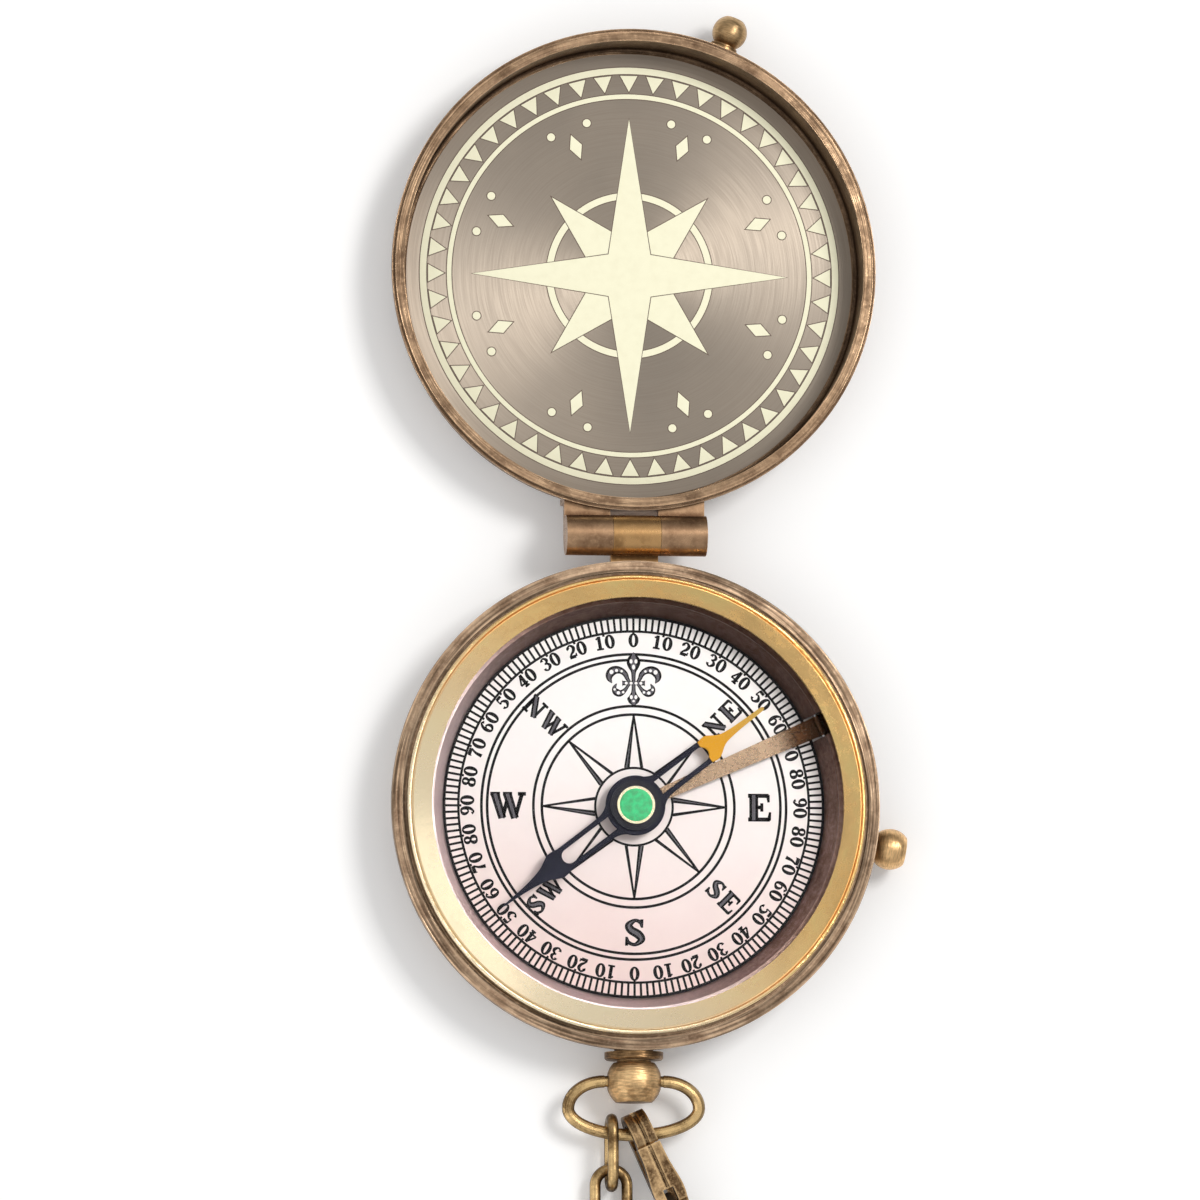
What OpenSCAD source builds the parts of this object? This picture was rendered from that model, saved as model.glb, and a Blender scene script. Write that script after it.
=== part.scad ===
/* [Case] */
// Outside diameter of the case wall below the flange
case_d = 72; // [66:0.5:80]
// Width of the flange beyond the wall
flange_w = 1.5; // [1:0.1:2]
// Height of the case from its back to the top of the flange
case_h = 9.6; // [9.4:0.1:11]
// Thickness of the case wall
case_wall = 1.6; // [1.2:0.1:1.7]
// Thickness of the case back
back_t = 1.3; // [0.8:0.1:1.8]
// Thickness of the flange that the lid closes on
flange_t = 1.4; // [1:0.1:1.8]
// Radius of the rounded edge round the case back
back_round = 1.2; // [0.4:0.1:1.5]

/* [Dial and glass] */
// Room round the spacer ring for the lock's slider
lock_room = 2.4; // [2.2:0.05:2.6]
// How far the dial's edge lies inside the spacer ring's outside
dial_inset = 0.2; // [0:0.05:0.6]
// Thickness of the dial plate
dial_t = 0.6; // [0.4:0.1:0.8]
// Height of the dial's printed face above the case back's outside
dial_z = 5; // [4.6:0.1:5.2]
// Width of the spacer ring's foot on the dial
spacer_foot_w = 2.6; // [2.2:0.1:3.4]
// Width of the spacer ring at its top
spacer_top_w = 0.9; // [0.7:0.05:1.2]
// Height of the glass's underside above the flange
glass_rise = 0.55; // [0.4:0.05:1.4]
// Thickness of the glass
glass_t = 1.5; // [1:0.1:2]
// How far the glass reaches past the spacer ring
glass_over = 0.6; // [0.2:0.05:0.8]

/* [Bezel] */
// How far the bezel reaches over the glass
bezel_cover = 1; // [0.6:0.1:1.3]
// How far the bead stands inside the case wall's outside
bead_inset = 0.8; // [0.7:0.1:1.2]
// Width of the bead
bead_w = 0.7; // [0.5:0.1:0.9]
// Rise of the sloping face from the bead to the inner edge
bezel_rise = 1.3; // [0.6:0.1:2]
// Height of the bezel's lip over the glass
bezel_lip = 0.9; // [0.6:0.1:1.4]

/* [Lid] */
// Height of the lid from its rim to its outer face
lid_h = 8.6; // [8:0.1:9]
// Thickness of the lid's wall
lid_wall = 1.1; // [0.8:0.1:1.4]
// Width of the lid's rim beyond its wall
lid_rim_w = 0.8; // [0.4:0.1:1.2]
// Height of the lid's rim band
lid_rim_h = 1.3; // [0.8:0.1:1.6]
// Thickness of the lid's floor
lid_floor = 0.9; // [0.6:0.1:1.5]
// Radius of the lid's rounded outer edge
lid_round = 2.2; // [1:0.1:3]
// Gap between the lid's plate and the rounded corner round it
plate_gap = 0.1; // [0.1:0.1:1.5]
// Thickness of the plate laid in the lid
lid_plate_t = 0.5; // [0.3:0.1:0.8]

/* [Hinge] */
// Gap between the flange and the hinge's knuckles
hinge_gap = 0.75; // [0.7:0.05:2]
// Whole width of the hinge
hinge_w = 21.6; // [16:0.2:26]
// Width of the middle knuckle
knuckle_w = 7.3; // [5:0.1:9]
// Diameter of the knuckles
knuckle_d = 6.2; // [5:0.1:6.4]
// Diameter of the hinge pin
hinge_pin_d = 2; // [1.2:0.1:2.6]
// Thickness of the leaves on the case and the lid
leaf_t = 0.8; // [0.6:0.1:1]

/* [Needle] */
// Gap between the needle's yellow north end and the spacer ring
north_gap = 4.7; // [3.4:0.1:9]
// Gap between the needle's black south end and the spacer ring
south_gap = 3.8; // [3:0.1:9]
// Thickness of the needle's blade
blade_t = 0.45; // [0.3:0.05:0.6]
// Width over the two rails of the blade
rails_w = 4.2; // [3:0.1:5]
// Width of one rail
rail_w = 0.75; // [0.5:0.05:1]
// Length of the yellow arrowhead
head_l = 10.1; // [7.7:0.1:14]
// Diameter of the black ring at the blade's middle
blade_ring_d = 9.2; // [8.4:0.1:10]
// Direction of the north end, from the X axis
needle_dir = 37.5; // [0:0.5:360]

/* [Needle lock] */
// Direction of the lifting lever, from the X axis
lever_dir = 23.8; // [22:0.1:40]
// Direction of the side knob, from the X axis
lock_dir = -8.8; // [-12:0.1:-4]
// Travel of the side knob round the case
lock_travel = 12; // [8:0.5:14]
// Thickness of the lever
lever_t = 0.6; // [0.4:0.05:0.8]
// Width of the lever at its hinge
lever_w = 3.1; // [2.4:0.1:4]
// Diameter of the side knob
lock_knob_d = 6.3; // [5:0.1:7]
// Length of the side knob
lock_knob_l = 4.6; // [3:0.1:6]

/* [Pendant and bow] */
// Diameter of the pendant's plate
pendant_plate_d = 9; // [7.6:0.1:9.4]
// Diameter of the pendant's ball
ball_d = 8.5; // [7:0.1:8.8]
// Length of the neck between the pendant's plate and its ball
pendant_neck_l = 0.4; // [0.2:0.05:1.2]
// Height of the pendant's and the side knob's axes
pendant_z = 4.9; // [4.8:0.1:5]
// Diameter of the bow's wire
bow_wire_d = 1.9; // [1.5:0.1:2.2]
// Outside width of the bow
bow_w = 22; // [18:0.5:28]
// Distance from the bow's upper run to its lower run
bow_h = 8.2; // [8.1:0.1:12]

/* [Chain and clasp] */
// Diameter of the chain's wire
chain_wire_d = 1.7; // [1.3:0.05:1.8]
// Length of one link
link_l = 12; // [11:0.1:13]
// Width of one link
link_w = 6.6; // [6.4:0.1:7.4]
// Radius of the chain's loop on the ground
chain_turn_r = 18; // [17:0.5:24]
// Length of the clasp from its nose to the middle of its eye
clasp_l = 21.3; // [20.5:0.1:24]
// Width of the clasp's hook
clasp_w = 3.4; // [3:0.1:3.6]

/* [Hidden] */
$fn = 96;

// Running clearance on a radius
running = 0.05;
// Clearance between pieces that are fitted and stay
seat = 0.02;
// Clearance between pieces that pass each other
pass_gap = 0.3;
// Overrun of every cut
over = 1;

// The case
case_r = case_d / 2;
flange_r = case_r + flange_w;
case_in_r = case_r - case_wall;
flange_groove_w = 0.6;
flange_groove_t = 0.5;

// The rings inside the case, from its wall inwards
spacer_r = case_in_r - lock_room;
dial_r = spacer_r - dial_inset;
dial_open_r = spacer_r - spacer_foot_w;
spacer_lip_h = 0.95;
glass_r = spacer_r + glass_over;
bezel_open_r = glass_r - bezel_cover;
bead_r = case_r - bead_inset;

// The heights inside the case, from the back up
support_z = dial_z - dial_t;
support_w = 3.2;
glass_z = case_h + glass_rise;
bezel_lip_z = glass_z + glass_t + seat;
bezel_top_z = bezel_lip_z + bezel_lip;
skirt_h = 1;
skirt_w = 0.95;
bead_h = 1.4;
bead_z = case_h + running;
bezel_line_w = 0.2;
bezel_line_t = 0.4;

// The pivot and the needle, from the dial's face up
foot_r = 3.4;
pivot_r = 1;
pivot_shoulder_z = dial_z + 1.9;
pivot_tip_r = 0.12;
pivot_tip_z = dial_z + 3.2;
collar_sleeve_t = 0.5;
collar_flange_r = 2.6;
collar_flange_t = 0.38;
lever_under = 0.9;
lever_z = dial_z + lever_under;
collar_low_gap = 0.25;
collar_z = lever_z + lever_t + running;
collar_top_z = collar_z + collar_flange_t;
hub_gap = 0.1;
hub_z = collar_top_z + hub_gap;
hub_boss_r = 2.4;
hub_boss_h = 0.4;
blade_z = hub_z + hub_boss_h;
hub_top_r = 3.85;
hub_top_h = 0.55;
hub_top_z = blade_z + blade_t + hub_top_h;
hub_bore_r = 1.3;
jewel_r = 1.7;
jewel_h = 0.95;
jewel_z = hub_top_z - jewel_h;
jewel_mouth_r = 1.1;
jewel_apex_z = pivot_tip_z + hub_gap;
hub_ring_r = 2.9;
hub_ring_h = 0.5;
hub_ring_floor = 0.2;
hub_disc_r = 2.3;
hub_disc_t = 0.4;

// The blade's outline
north_len = dial_open_r - north_gap;
south_len = dial_open_r - south_gap;
head_r = north_len - head_l;
slot_hw = rails_w / 2 - rail_w;
head_steps = 14;
head_curve = 2.1;
tip_w = 0.3;
blade_eye_r = hub_boss_r + seat;
yellow_head_share = 0.86;

// The lever, its hinge in the spacer ring's gap and the slider round the wall
lever_hinge_inset = 0.76;
lever_hinge_r = spacer_r - lever_hinge_inset;
lever_pin_r = 0.35;
lever_knuckle_r = 0.75;
lever_pin_z = lever_z + lever_t / 2;
lever_ring_r = 2.7;
lever_eye_r = pivot_r + running + collar_sleeve_t + pass_gap / 2;
lever_neck_w = 1.9;
lever_end_gap = 0.26;
lever_gap_w = lever_w + 2 * pass_gap;
lever_pin_l = lever_gap_w + 2 * lever_w;
slider_in_r = spacer_r + 2 * pass_gap;
slider_out_r = case_in_r - pass_gap;
lever_end_r = slider_out_r - lever_end_gap;
slider_h = 1.5;
slider_z = pendant_z - slider_h / 2;
slider_lead = 5;
slider_tail = 6;
hook_h = 0.9;
hook_root = 4;
hook_z = lever_z + lever_t + pass_gap / 2;
lever_half_turn = asin((lever_w / 2 + pass_gap) / slider_in_r);
hook_end = lever_dir - lever_half_turn;
hook_start = hook_end - lock_travel - hook_root;

// The side knob
lock_stem_d = 2.2;
lock_peg_d = 0.9;
lock_slot_h = lock_stem_d + 2 * running;
lock_collar_d = 5;
lock_collar_t = 0.6;
lock_knob_r0 = flange_r + pass_gap;

// The lid as it lies open
lid_bore_r = bead_r + pass_gap;
lid_r = lid_bore_r + lid_wall;
lid_rim_r = lid_r + lid_rim_w;
hinge_rise = 0.05;
hinge_y = flange_r + knuckle_d / 2 + hinge_gap;
hinge_z = case_h + hinge_rise;
lid_y = 2 * hinge_y;
lid_rim_z = case_h + 2 * hinge_rise;
lid_back_z = lid_rim_z - lid_h;
lid_plate_z = lid_back_z + lid_floor;
lid_inner_round = 0.8;
lid_step_w = 0.5;
lid_step_h = 0.4;
lid_knob_dir = 67.8;
lid_knob_d = 5.4;
lid_knob_l = 4.5;
lid_knob_drop = 4.2;
lid_knob_stem_d = 1.8;
lid_collar_d = 5.2;
lid_collar_t = 1.3;
lid_collar_step = 0.5;

// The hinge
knuckle_r = knuckle_d / 2;
knuckle_gap = 0.06;
hinge_pin_r = hinge_pin_d / 2;
leaf_low_z = 1.8;
web_t = 1.55;
web_z = hinge_z - knuckle_r;
leaf_top_z = case_h - flange_t - running;
rivet_r = 0.6;
rivet_head_r = 1.1;
rivet_head_h = 0.45;
rivet_x = 7.6;
rivet_z = (leaf_low_z + web_z) / 2;

// The pendant
ball_r = ball_d / 2;
ball_near = 2.85;
ball_far = 3.2;
pendant_boss_d = 6;
ball_flat = 0.25;
pendant_plate_t = 1.2;
pendant_edge = 0.25;
pendant_plate_r0 = flange_r + running;
ball_y = pendant_plate_r0 + pendant_plate_t + pendant_neck_l + ball_near;
pendant_neck_d = 5.2;
pendant_stud_d = 3;
bow_r = bow_wire_d / 2;
bow_pin_r = bow_r - 0.1;

// The bow's outline: its two ends sprung into the ball's bore, then an oval below
bow_half_w = (bow_w - bow_wire_d) / 2;
bow_half_h = bow_h / 2;
bow_run = ball_r + pass_gap;
bow_rings = 64;
bow_facets = 16;

// The clasp, drawn from its nose with its length along u and its height along v
clasp_nose_r = 3.7;
clasp_bar = 1.5;
clasp_eye_r = 1.35;
clasp_tail_r = 2.3;
clasp_tail_w = 2;
clasp_tang_w = 1.5;
clasp_dir = -66;
gate_cheek_t = 1;
gate_play = 0.1;
gate_h = 1.6;
gate_pin_u = 16.2;
gate_pin_r = 0.5;
gate_boss_r = 1.45;
gate_v = 2 * clasp_nose_r - gate_h - 0.5 * gate_play;
gate_pin_v = gate_v + gate_h / 2 - gate_play;
gate_tip_u = clasp_nose_r + bow_wire_d;
gate_web_l = 7.2;
gate_w = clasp_tang_w + 2 * gate_play + 2 * gate_cheek_t;
gate_swell = 0.6;
gate_swell_steps = 18;
gate_end_u = gate_pin_u + gate_boss_r;
groove_w = 0.7;
groove_t = 0.6;
gate_spring_t = 0.3;
gate_spring_w = 0.9;
gate_spring_l = 5.2;
gate_spring_slope = 9;

// The bow lies down until its lower run is at the middle of the clasp's nose
bow_low_z = clasp_nose_r;
bow_droop = asin((pendant_z - bow_low_z) / bow_h);
bow_low_y = -ball_y - bow_h * cos(bow_droop);
clasp_x = 1.2;
clasp_at = [clasp_x - clasp_nose_r * cos(clasp_dir), bow_low_y - clasp_nose_r * sin(clasp_dir)];
clasp_eye_at = clasp_at + clasp_l * [cos(clasp_dir), sin(clasp_dir)];

// The chain: links laid along a line, a bend, a loop and a line back to the clasp
link_r = chain_wire_d / 2;
link_bend_r = link_w / 2 - link_r;
link_reach = link_l / 2 - link_r;
link_z = [link_w / 2, chain_wire_d + link_r + running];
clasp_eye_v = link_z[1];
link_play = 0.68;
chain_pitch_max = 2 * link_reach - chain_wire_d - link_play;
chain_x = -3.3;
chain_start = [chain_x, bow_low_y - link_reach + bow_r + link_r + link_play];
chain_end = clasp_eye_at + link_reach * [cos(clasp_dir), sin(clasp_dir)];
bend_angle = 50;
h_start = -90;
h_bend = h_start - bend_angle;
h_end = clasp_dir + 180;
bend_move = chain_turn_r * [sin(h_start) - sin(h_bend), cos(h_bend) - cos(h_start)];
loop_move = chain_turn_r * [sin(h_end) - sin(h_bend), cos(h_bend) - cos(h_end)];
chain_rest = chain_end - chain_start - bend_move - loop_move;
line_b = chain_rest[0] / cos(h_end);
line_a = line_b * sin(h_end) - chain_rest[1];
bend_len = chain_turn_r * (h_start - h_bend) * PI / 180;
loop_len = chain_turn_r * (h_end - h_bend) * PI / 180;
chain_len = line_a + bend_len + loop_len + line_b;
link_count = 2 * ceil((chain_len / chain_pitch_max + 1) / 2);

function left_arc(h0, h1) = chain_turn_r * [sin(h1) - sin(h0), cos(h0) - cos(h1)];
function right_arc(h0, h1) = chain_turn_r * [sin(h0) - sin(h1), cos(h1) - cos(h0)];
function turned(s) = s / chain_turn_r * 180 / PI;
// Heading of the chain at distance s along it
function chain_heading(s) =
    s < line_a ? h_start
    : s < line_a + bend_len ? h_start - turned(s - line_a)
    : s < chain_len - line_b ? h_bend + turned(s - line_a - bend_len)
    : h_end;
// Place of the chain at distance s along it
function chain_place(s) =
    s < line_a ? chain_start + s * [cos(h_start), sin(h_start)]
    : s < line_a + bend_len
        ? chain_start + line_a * [cos(h_start), sin(h_start)] + right_arc(h_start, chain_heading(s))
    : s < chain_len - line_b
        ? chain_start + line_a * [cos(h_start), sin(h_start)] + bend_move
            + left_arc(h_bend, chain_heading(s))
    : chain_end - (chain_len - s) * [cos(h_end), sin(h_end)];

// A flat ring
module ring(outer_r, inner_r, h) {
    difference() {
        cylinder(h = h, r = outer_r);
        translate([0, 0, -over]) cylinder(h = h + 2 * over, r = inner_r);
    }
}

// Places a piece on a round wall, with its own Z pointing outwards
module on_wall(dir, r, z) {
    rotate([0, 0, dir]) translate([r, 0, z]) rotate([0, 90, 0]) children();
}

// What a rounded corner of radius r takes off a square corner at the origin
module edge_waste(r) {
    difference() {
        translate([-over, -over]) square(r + over);
        translate([r, r]) circle(r);
    }
}

// A rod along X with its middle at the origin
module cross_rod(l, r) {
    rotate([0, 90, 0]) cylinder(h = l, r = r, center = true);
}

// A turned knob: a ball of diameter d cut to length l, standing on its near end
module turned_ball(d, l) {
    translate([0, 0, l / 2]) intersection() {
        sphere(d = d);
        cube([2 * d, 2 * d, l], center = true);
    }
}

module case_body() color("#8a6f45") difference() {
    rotate_extrude() difference() {
        union() {
            square([case_r, back_t]);
            translate([case_in_r, 0]) square([case_wall, case_h]);
            translate([case_in_r, case_h - flange_t]) square([flange_r - case_in_r, flange_t]);
        }
        translate([case_r, 0]) mirror([1, 0]) edge_waste(back_round);
        translate([bead_r + seat, case_h - flange_groove_t])
            square([flange_groove_w, flange_groove_t + over]);
    }
    for (a = [0, lock_travel])
        on_wall(lock_dir + a, case_in_r - over, pendant_z)
            cylinder(h = case_wall + 2 * over, d = lock_slot_h);
    rotate([0, 0, lock_dir]) rotate_extrude(angle = lock_travel)
        translate([case_in_r - over, pendant_z - lock_slot_h / 2 + seat])
            square([case_wall + 2 * over, lock_slot_h - 2 * seat]);
    on_wall(-90, case_in_r - over, pendant_z)
        cylinder(h = case_wall + 2 * over, r = pendant_stud_d / 2 + seat);
    for (x = [-rivet_x, rivet_x])
        on_wall(90 - asin(x / case_r), case_in_r - over, rivet_z)
            cylinder(h = case_wall + 2 * over, r = rivet_r + seat);
    translate([0, 0, -over]) cylinder(h = back_t + 2 * over, r = pivot_r + seat);
}

module dial_support_ring() color("#7a6242")
    translate([0, 0, back_t + seat])
        ring(dial_r, dial_r - support_w, support_z - back_t - 2 * seat);

module dial_plate() color("#e4dcdc") translate([0, 0, support_z])
    ring(dial_r, pivot_r + seat, dial_t);

module spacer_ring() color("#7d6263") difference() {
    rotate_extrude() polygon([
        [dial_open_r, dial_z + seat],
        [spacer_r, dial_z + seat],
        [spacer_r, glass_z - seat],
        [spacer_r - spacer_top_w, glass_z - seat],
        [spacer_r - spacer_top_w, glass_z - spacer_lip_h]
    ]);
    rotate([0, 0, lever_dir]) translate([0, -lever_gap_w / 2, 0])
        cube([case_d, lever_gap_w, glass_z + over]);
    on_lever_hinge() cross_rod(lever_pin_l, lever_pin_r + seat);
}

module crystal() color("#dfe9ea", 0.35) translate([0, 0, glass_z])
    cylinder(h = glass_t, r = glass_r);

module bezel_ring() color("#c9a867") rotate_extrude() difference() {
    union() {
        polygon([
            [bezel_open_r, bezel_lip_z],
            [glass_r + running, bezel_lip_z],
            [glass_r + running, bead_z],
            [case_in_r - running - skirt_w, bead_z],
            [case_in_r - running - skirt_w, case_h - skirt_h],
            [case_in_r - running, case_h - skirt_h],
            [case_in_r - running, bead_z],
            [bead_r, bead_z],
            [bead_r, bead_z + bead_h - bead_w / 2],
            [bead_r - bead_w, bead_z + bead_h - bead_w / 2],
            [bead_r - bead_w, bezel_top_z - bezel_rise],
            [bezel_open_r, bezel_top_z]
        ]);
        translate([bead_r - bead_w / 2, bead_z + bead_h - bead_w / 2])
            circle(bead_w / 2);
    }
    translate([bead_r - bead_w - bezel_line_w, bezel_top_z - bezel_rise - bezel_line_t])
        square([bezel_line_w, bezel_rise]);
}

module pivot_foot() color("#b08d57") translate([0, 0, back_t + seat])
    ring(foot_r, pivot_r + seat, support_z - back_t - 2 * seat);

module pivot_pin() color("#9a9da1") {
    cylinder(h = pivot_shoulder_z, r = pivot_r);
    translate([0, 0, pivot_shoulder_z])
        cylinder(h = pivot_tip_z - pivot_shoulder_z, r1 = pivot_r, r2 = pivot_tip_r);
}

// Places a piece at the lever's hinge, with its own X along the hinge pin
module on_lever_hinge() {
    rotate([0, 0, lever_dir]) translate([lever_hinge_r, 0, lever_pin_z])
        rotate([0, 0, 90]) children();
}

module lever_pin() color("#9a9da1") on_lever_hinge() cross_rod(lever_pin_l, lever_pin_r);

module hinge_knuckle(x0, w, bore_r) {
    translate([x0, hinge_y, hinge_z]) rotate([0, 90, 0]) ring(knuckle_r, bore_r, w);
}

module case_hinge_leaf() color("#8c7048") {
    hinge_knuckle(-knuckle_w / 2, knuckle_w, hinge_pin_r + seat);
    difference() {
        union() {
            intersection() {
                translate([0, 0, leaf_low_z])
                    ring(case_r + leaf_t, case_r + seat, leaf_top_z - leaf_low_z);
                translate([-hinge_w / 2, 0, 0]) cube([hinge_w, hinge_y, case_h]);
            }
            translate([-knuckle_w / 2, case_r - leaf_t, web_z])
                cube([knuckle_w, hinge_y - case_r + leaf_t, web_t]);
        }
        cylinder(h = case_h, r = case_r + seat);
        translate([0, hinge_y, hinge_z]) cross_rod(hinge_w + over, hinge_pin_r + seat);
        for (x = [-rivet_x, rivet_x])
            on_wall(90 - asin(x / case_r), case_r - over, rivet_z)
                cylinder(h = leaf_t + 2 * over, r = rivet_r + seat);
    }
}

// A rivet through a wall of thickness t, its head outside
module rivet(t) {
    cylinder(h = t, r = rivet_r);
    translate([0, 0, t]) cylinder(h = rivet_head_h, r1 = rivet_head_r, r2 = rivet_r);
}

module case_hinge_rivets() color("#a5854f")
    for (x = [-rivet_x, rivet_x])
        on_wall(90 - asin(x / case_r), case_in_r, rivet_z) rivet(case_wall + leaf_t + seat);

module hinge_pin() color("#a08a5c") translate([0, hinge_y, hinge_z])
    cross_rod(hinge_w, hinge_pin_r);

module pendant_plate() color("#8f7346") on_wall(-90, case_r, pendant_z) difference() {
    rotate_extrude() polygon([
        [0, 0],
        [pendant_boss_d / 2, 0],
        [pendant_boss_d / 2, pendant_plate_r0 - case_r],
        [pendant_plate_d / 2, pendant_plate_r0 - case_r],
        [pendant_plate_d / 2, pendant_plate_r0 - case_r + pendant_plate_t - pendant_edge],
        [pendant_plate_d / 2 - pendant_edge, pendant_plate_r0 - case_r + pendant_plate_t],
        [0, pendant_plate_r0 - case_r + pendant_plate_t]
    ]);
    translate([0, 0, -over])
        cylinder(h = flange_r + 2 * over, r = pendant_stud_d / 2 + seat);
    translate([pendant_z, 0, -case_r]) rotate([0, -90, 0])
        cylinder(h = case_h, r = case_r + seat);
}

module pendant_ball() color("#a9854c") difference() {
    on_wall(-90, case_in_r, pendant_z) rotate_extrude() {
        square([pendant_stud_d / 2, ball_y - case_in_r]);
        translate([0, pendant_plate_r0 + pendant_plate_t + seat - case_in_r])
            square([pendant_neck_d / 2, ball_y - pendant_plate_r0 - pendant_plate_t]);
        translate([0, ball_y - case_in_r]) intersection() {
            circle(ball_r);
            translate([0, -ball_near]) square([ball_r, ball_near + ball_far]);
        }
    }
    translate([0, -ball_y, pendant_z]) {
        cross_rod(2 * ball_d, bow_pin_r + running);
        for (side = [0, 1]) mirror([side, 0, 0]) translate([ball_r - ball_flat, -ball_r, -ball_r])
            cube([ball_r, ball_d, ball_d]);
    }
}

module lid_shell() color("#8a6f45") translate([0, lid_y, 0]) difference() {
    translate([0, 0, lid_back_z]) rotate_extrude() difference() {
        union() {
            square([lid_r, lid_floor]);
            translate([lid_bore_r, 0]) square([lid_wall, lid_h]);
            translate([lid_bore_r, lid_h - lid_rim_h])
                square([lid_wall + lid_rim_w, lid_rim_h]);
            difference() {
                translate([lid_bore_r - lid_inner_round, lid_floor / 2])
                    square([lid_inner_round + seat, lid_inner_round + lid_floor / 2]);
                translate([lid_bore_r - lid_inner_round, lid_floor + lid_inner_round])
                    circle(lid_inner_round);
            }
        }
        translate([lid_r, 0]) mirror([1, 0]) edge_waste(lid_round);
        translate([lid_rim_r - lid_step_w, lid_h - lid_step_h])
            square([lid_step_w + over, lid_step_h + over]);
    }
    on_wall(lid_knob_dir, lid_bore_r - over, lid_rim_z - lid_knob_drop)
        cylinder(h = lid_r, r = lid_knob_stem_d / 2 + seat);
    for (x = [-rivet_x, rivet_x])
        on_wall(-90 + asin(x / lid_r), lid_bore_r - over, rivet_z)
            cylinder(h = lid_r, r = rivet_r + seat);
}

module lid_plate() color("#a3958b") translate([0, lid_y, lid_plate_z + seat])
    cylinder(h = lid_plate_t, r = lid_bore_r - lid_inner_round - plate_gap);

module lid_hinge_leaf() color("#8c7048") difference() {
    union() {
        for (x = [-hinge_w / 2, knuckle_w / 2 + knuckle_gap])
            hinge_knuckle(x, (hinge_w - knuckle_w) / 2 - knuckle_gap, hinge_pin_r + running);
        intersection() {
            translate([0, lid_y, leaf_low_z])
                ring(lid_r + leaf_t, lid_r + seat, leaf_top_z - leaf_low_z);
            translate([-hinge_w / 2, hinge_y, 0]) cube([hinge_w, hinge_y, case_h]);
        }
        for (x = [-hinge_w / 2, knuckle_w / 2 + knuckle_gap])
            translate([x, hinge_y, web_z])
                cube([(hinge_w - knuckle_w) / 2 - knuckle_gap, lid_y - hinge_y - lid_r
                    + 2 * leaf_t, web_t]);
    }
    translate([0, lid_y, 0]) cylinder(h = case_h, r = lid_r + seat);
    translate([0, hinge_y, hinge_z]) cross_rod(hinge_w + over, hinge_pin_r + running);
    for (x = [-rivet_x, rivet_x])
        translate([0, lid_y, 0]) on_wall(-90 + asin(x / lid_r), lid_r - over, rivet_z)
            cylinder(h = leaf_t + 2 * over, r = rivet_r + seat);
}

module lid_hinge_rivets() color("#a5854f") translate([0, lid_y, 0])
    for (x = [-rivet_x, rivet_x])
        on_wall(-90 + asin(x / lid_r), lid_bore_r, rivet_z)
            rivet(lid_wall + leaf_t + seat);

module lid_knob_collar() color("#8f7346") translate([0, lid_y, 0])
    on_wall(lid_knob_dir, lid_r, lid_rim_z - lid_knob_drop) difference() {
        union() {
            cylinder(h = lid_collar_t, d = lid_collar_d);
            cylinder(h = lid_collar_t + lid_collar_step, d = lid_collar_d - 2 * lid_collar_step);
        }
        translate([0, 0, -over])
            cylinder(h = 2 * lid_collar_t + 2 * over, r = lid_knob_stem_d / 2 + seat);
        translate([lid_rim_z - lid_knob_drop, 0, -lid_r]) rotate([0, -90, 0])
            cylinder(h = lid_rim_z, r = lid_r + seat);
    }

module lid_knob() color("#b8955a") translate([0, lid_y, 0])
    on_wall(lid_knob_dir, lid_bore_r, lid_rim_z - lid_knob_drop) {
        cylinder(h = lid_wall + lid_collar_t + lid_knob_l / 2,
            d = lid_knob_stem_d);
        translate([0, 0, lid_wall + lid_collar_t + lid_collar_step + seat])
            turned_ball(lid_knob_d, lid_knob_l);
    }

module lock_slider() color("#a58a58") difference() {
    union() {
        rotate([0, 0, lock_dir - slider_tail])
            rotate_extrude(angle = lever_dir + slider_lead - lock_dir + slider_tail)
                translate([slider_in_r, slider_z]) square([slider_out_r - slider_in_r, slider_h]);
        difference() {
            rotate([0, 0, hook_start]) rotate_extrude(angle = hook_end - hook_start)
                translate([slider_in_r + running, slider_z + slider_h / 2])
                    square([slider_out_r - slider_in_r - 2 * running,
                        hook_z + hook_h - slider_z - slider_h / 2]);
            rotate([0, 0, hook_start + hook_root]) rotate_extrude(angle = hook_end - hook_start)
                translate([slider_in_r - over, slider_z])
                    square([slider_out_r - slider_in_r + 2 * over, hook_z - slider_z]);
        }
    }
    on_wall(lock_dir, slider_in_r - over, pendant_z)
        cylinder(h = case_r, r = lock_peg_d / 2 + seat);
}

module lock_collar() color("#8f7346") on_wall(lock_dir, case_r + running, pendant_z)
    ring(lock_collar_d / 2, lock_stem_d / 2 + seat, lock_collar_t);

module lock_knob() color("#c2a468") {
    on_wall(lock_dir, slider_in_r, pendant_z)
        cylinder(h = slider_out_r - slider_in_r + seat, d = lock_peg_d);
    on_wall(lock_dir, slider_out_r + seat, pendant_z)
        cylinder(h = lock_knob_r0 - slider_out_r, d = lock_stem_d);
    on_wall(lock_dir, lock_knob_r0, pendant_z) turned_ball(lock_knob_d, lock_knob_l);
}

module lifter_lever() color("#b49a68") difference() {
    union() {
        rotate([0, 0, lever_dir]) translate([0, 0, lever_z]) linear_extrude(lever_t) {
            circle(lever_ring_r);
            polygon([
                [lever_ring_r / 2, -lever_neck_w / 2],
                [lever_hinge_r, -lever_w / 2],
                [lever_end_r, -lever_w / 2],
                [lever_end_r, lever_w / 2],
                [lever_hinge_r, lever_w / 2],
                [lever_ring_r / 2, lever_neck_w / 2]
            ]);
        }
        on_lever_hinge() cross_rod(lever_w, lever_knuckle_r);
    }
    translate([0, 0, lever_z - over]) cylinder(h = lever_t + 2 * over, r = lever_eye_r);
    on_lever_hinge() cross_rod(lever_w + over, lever_pin_r + running);
}

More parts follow.
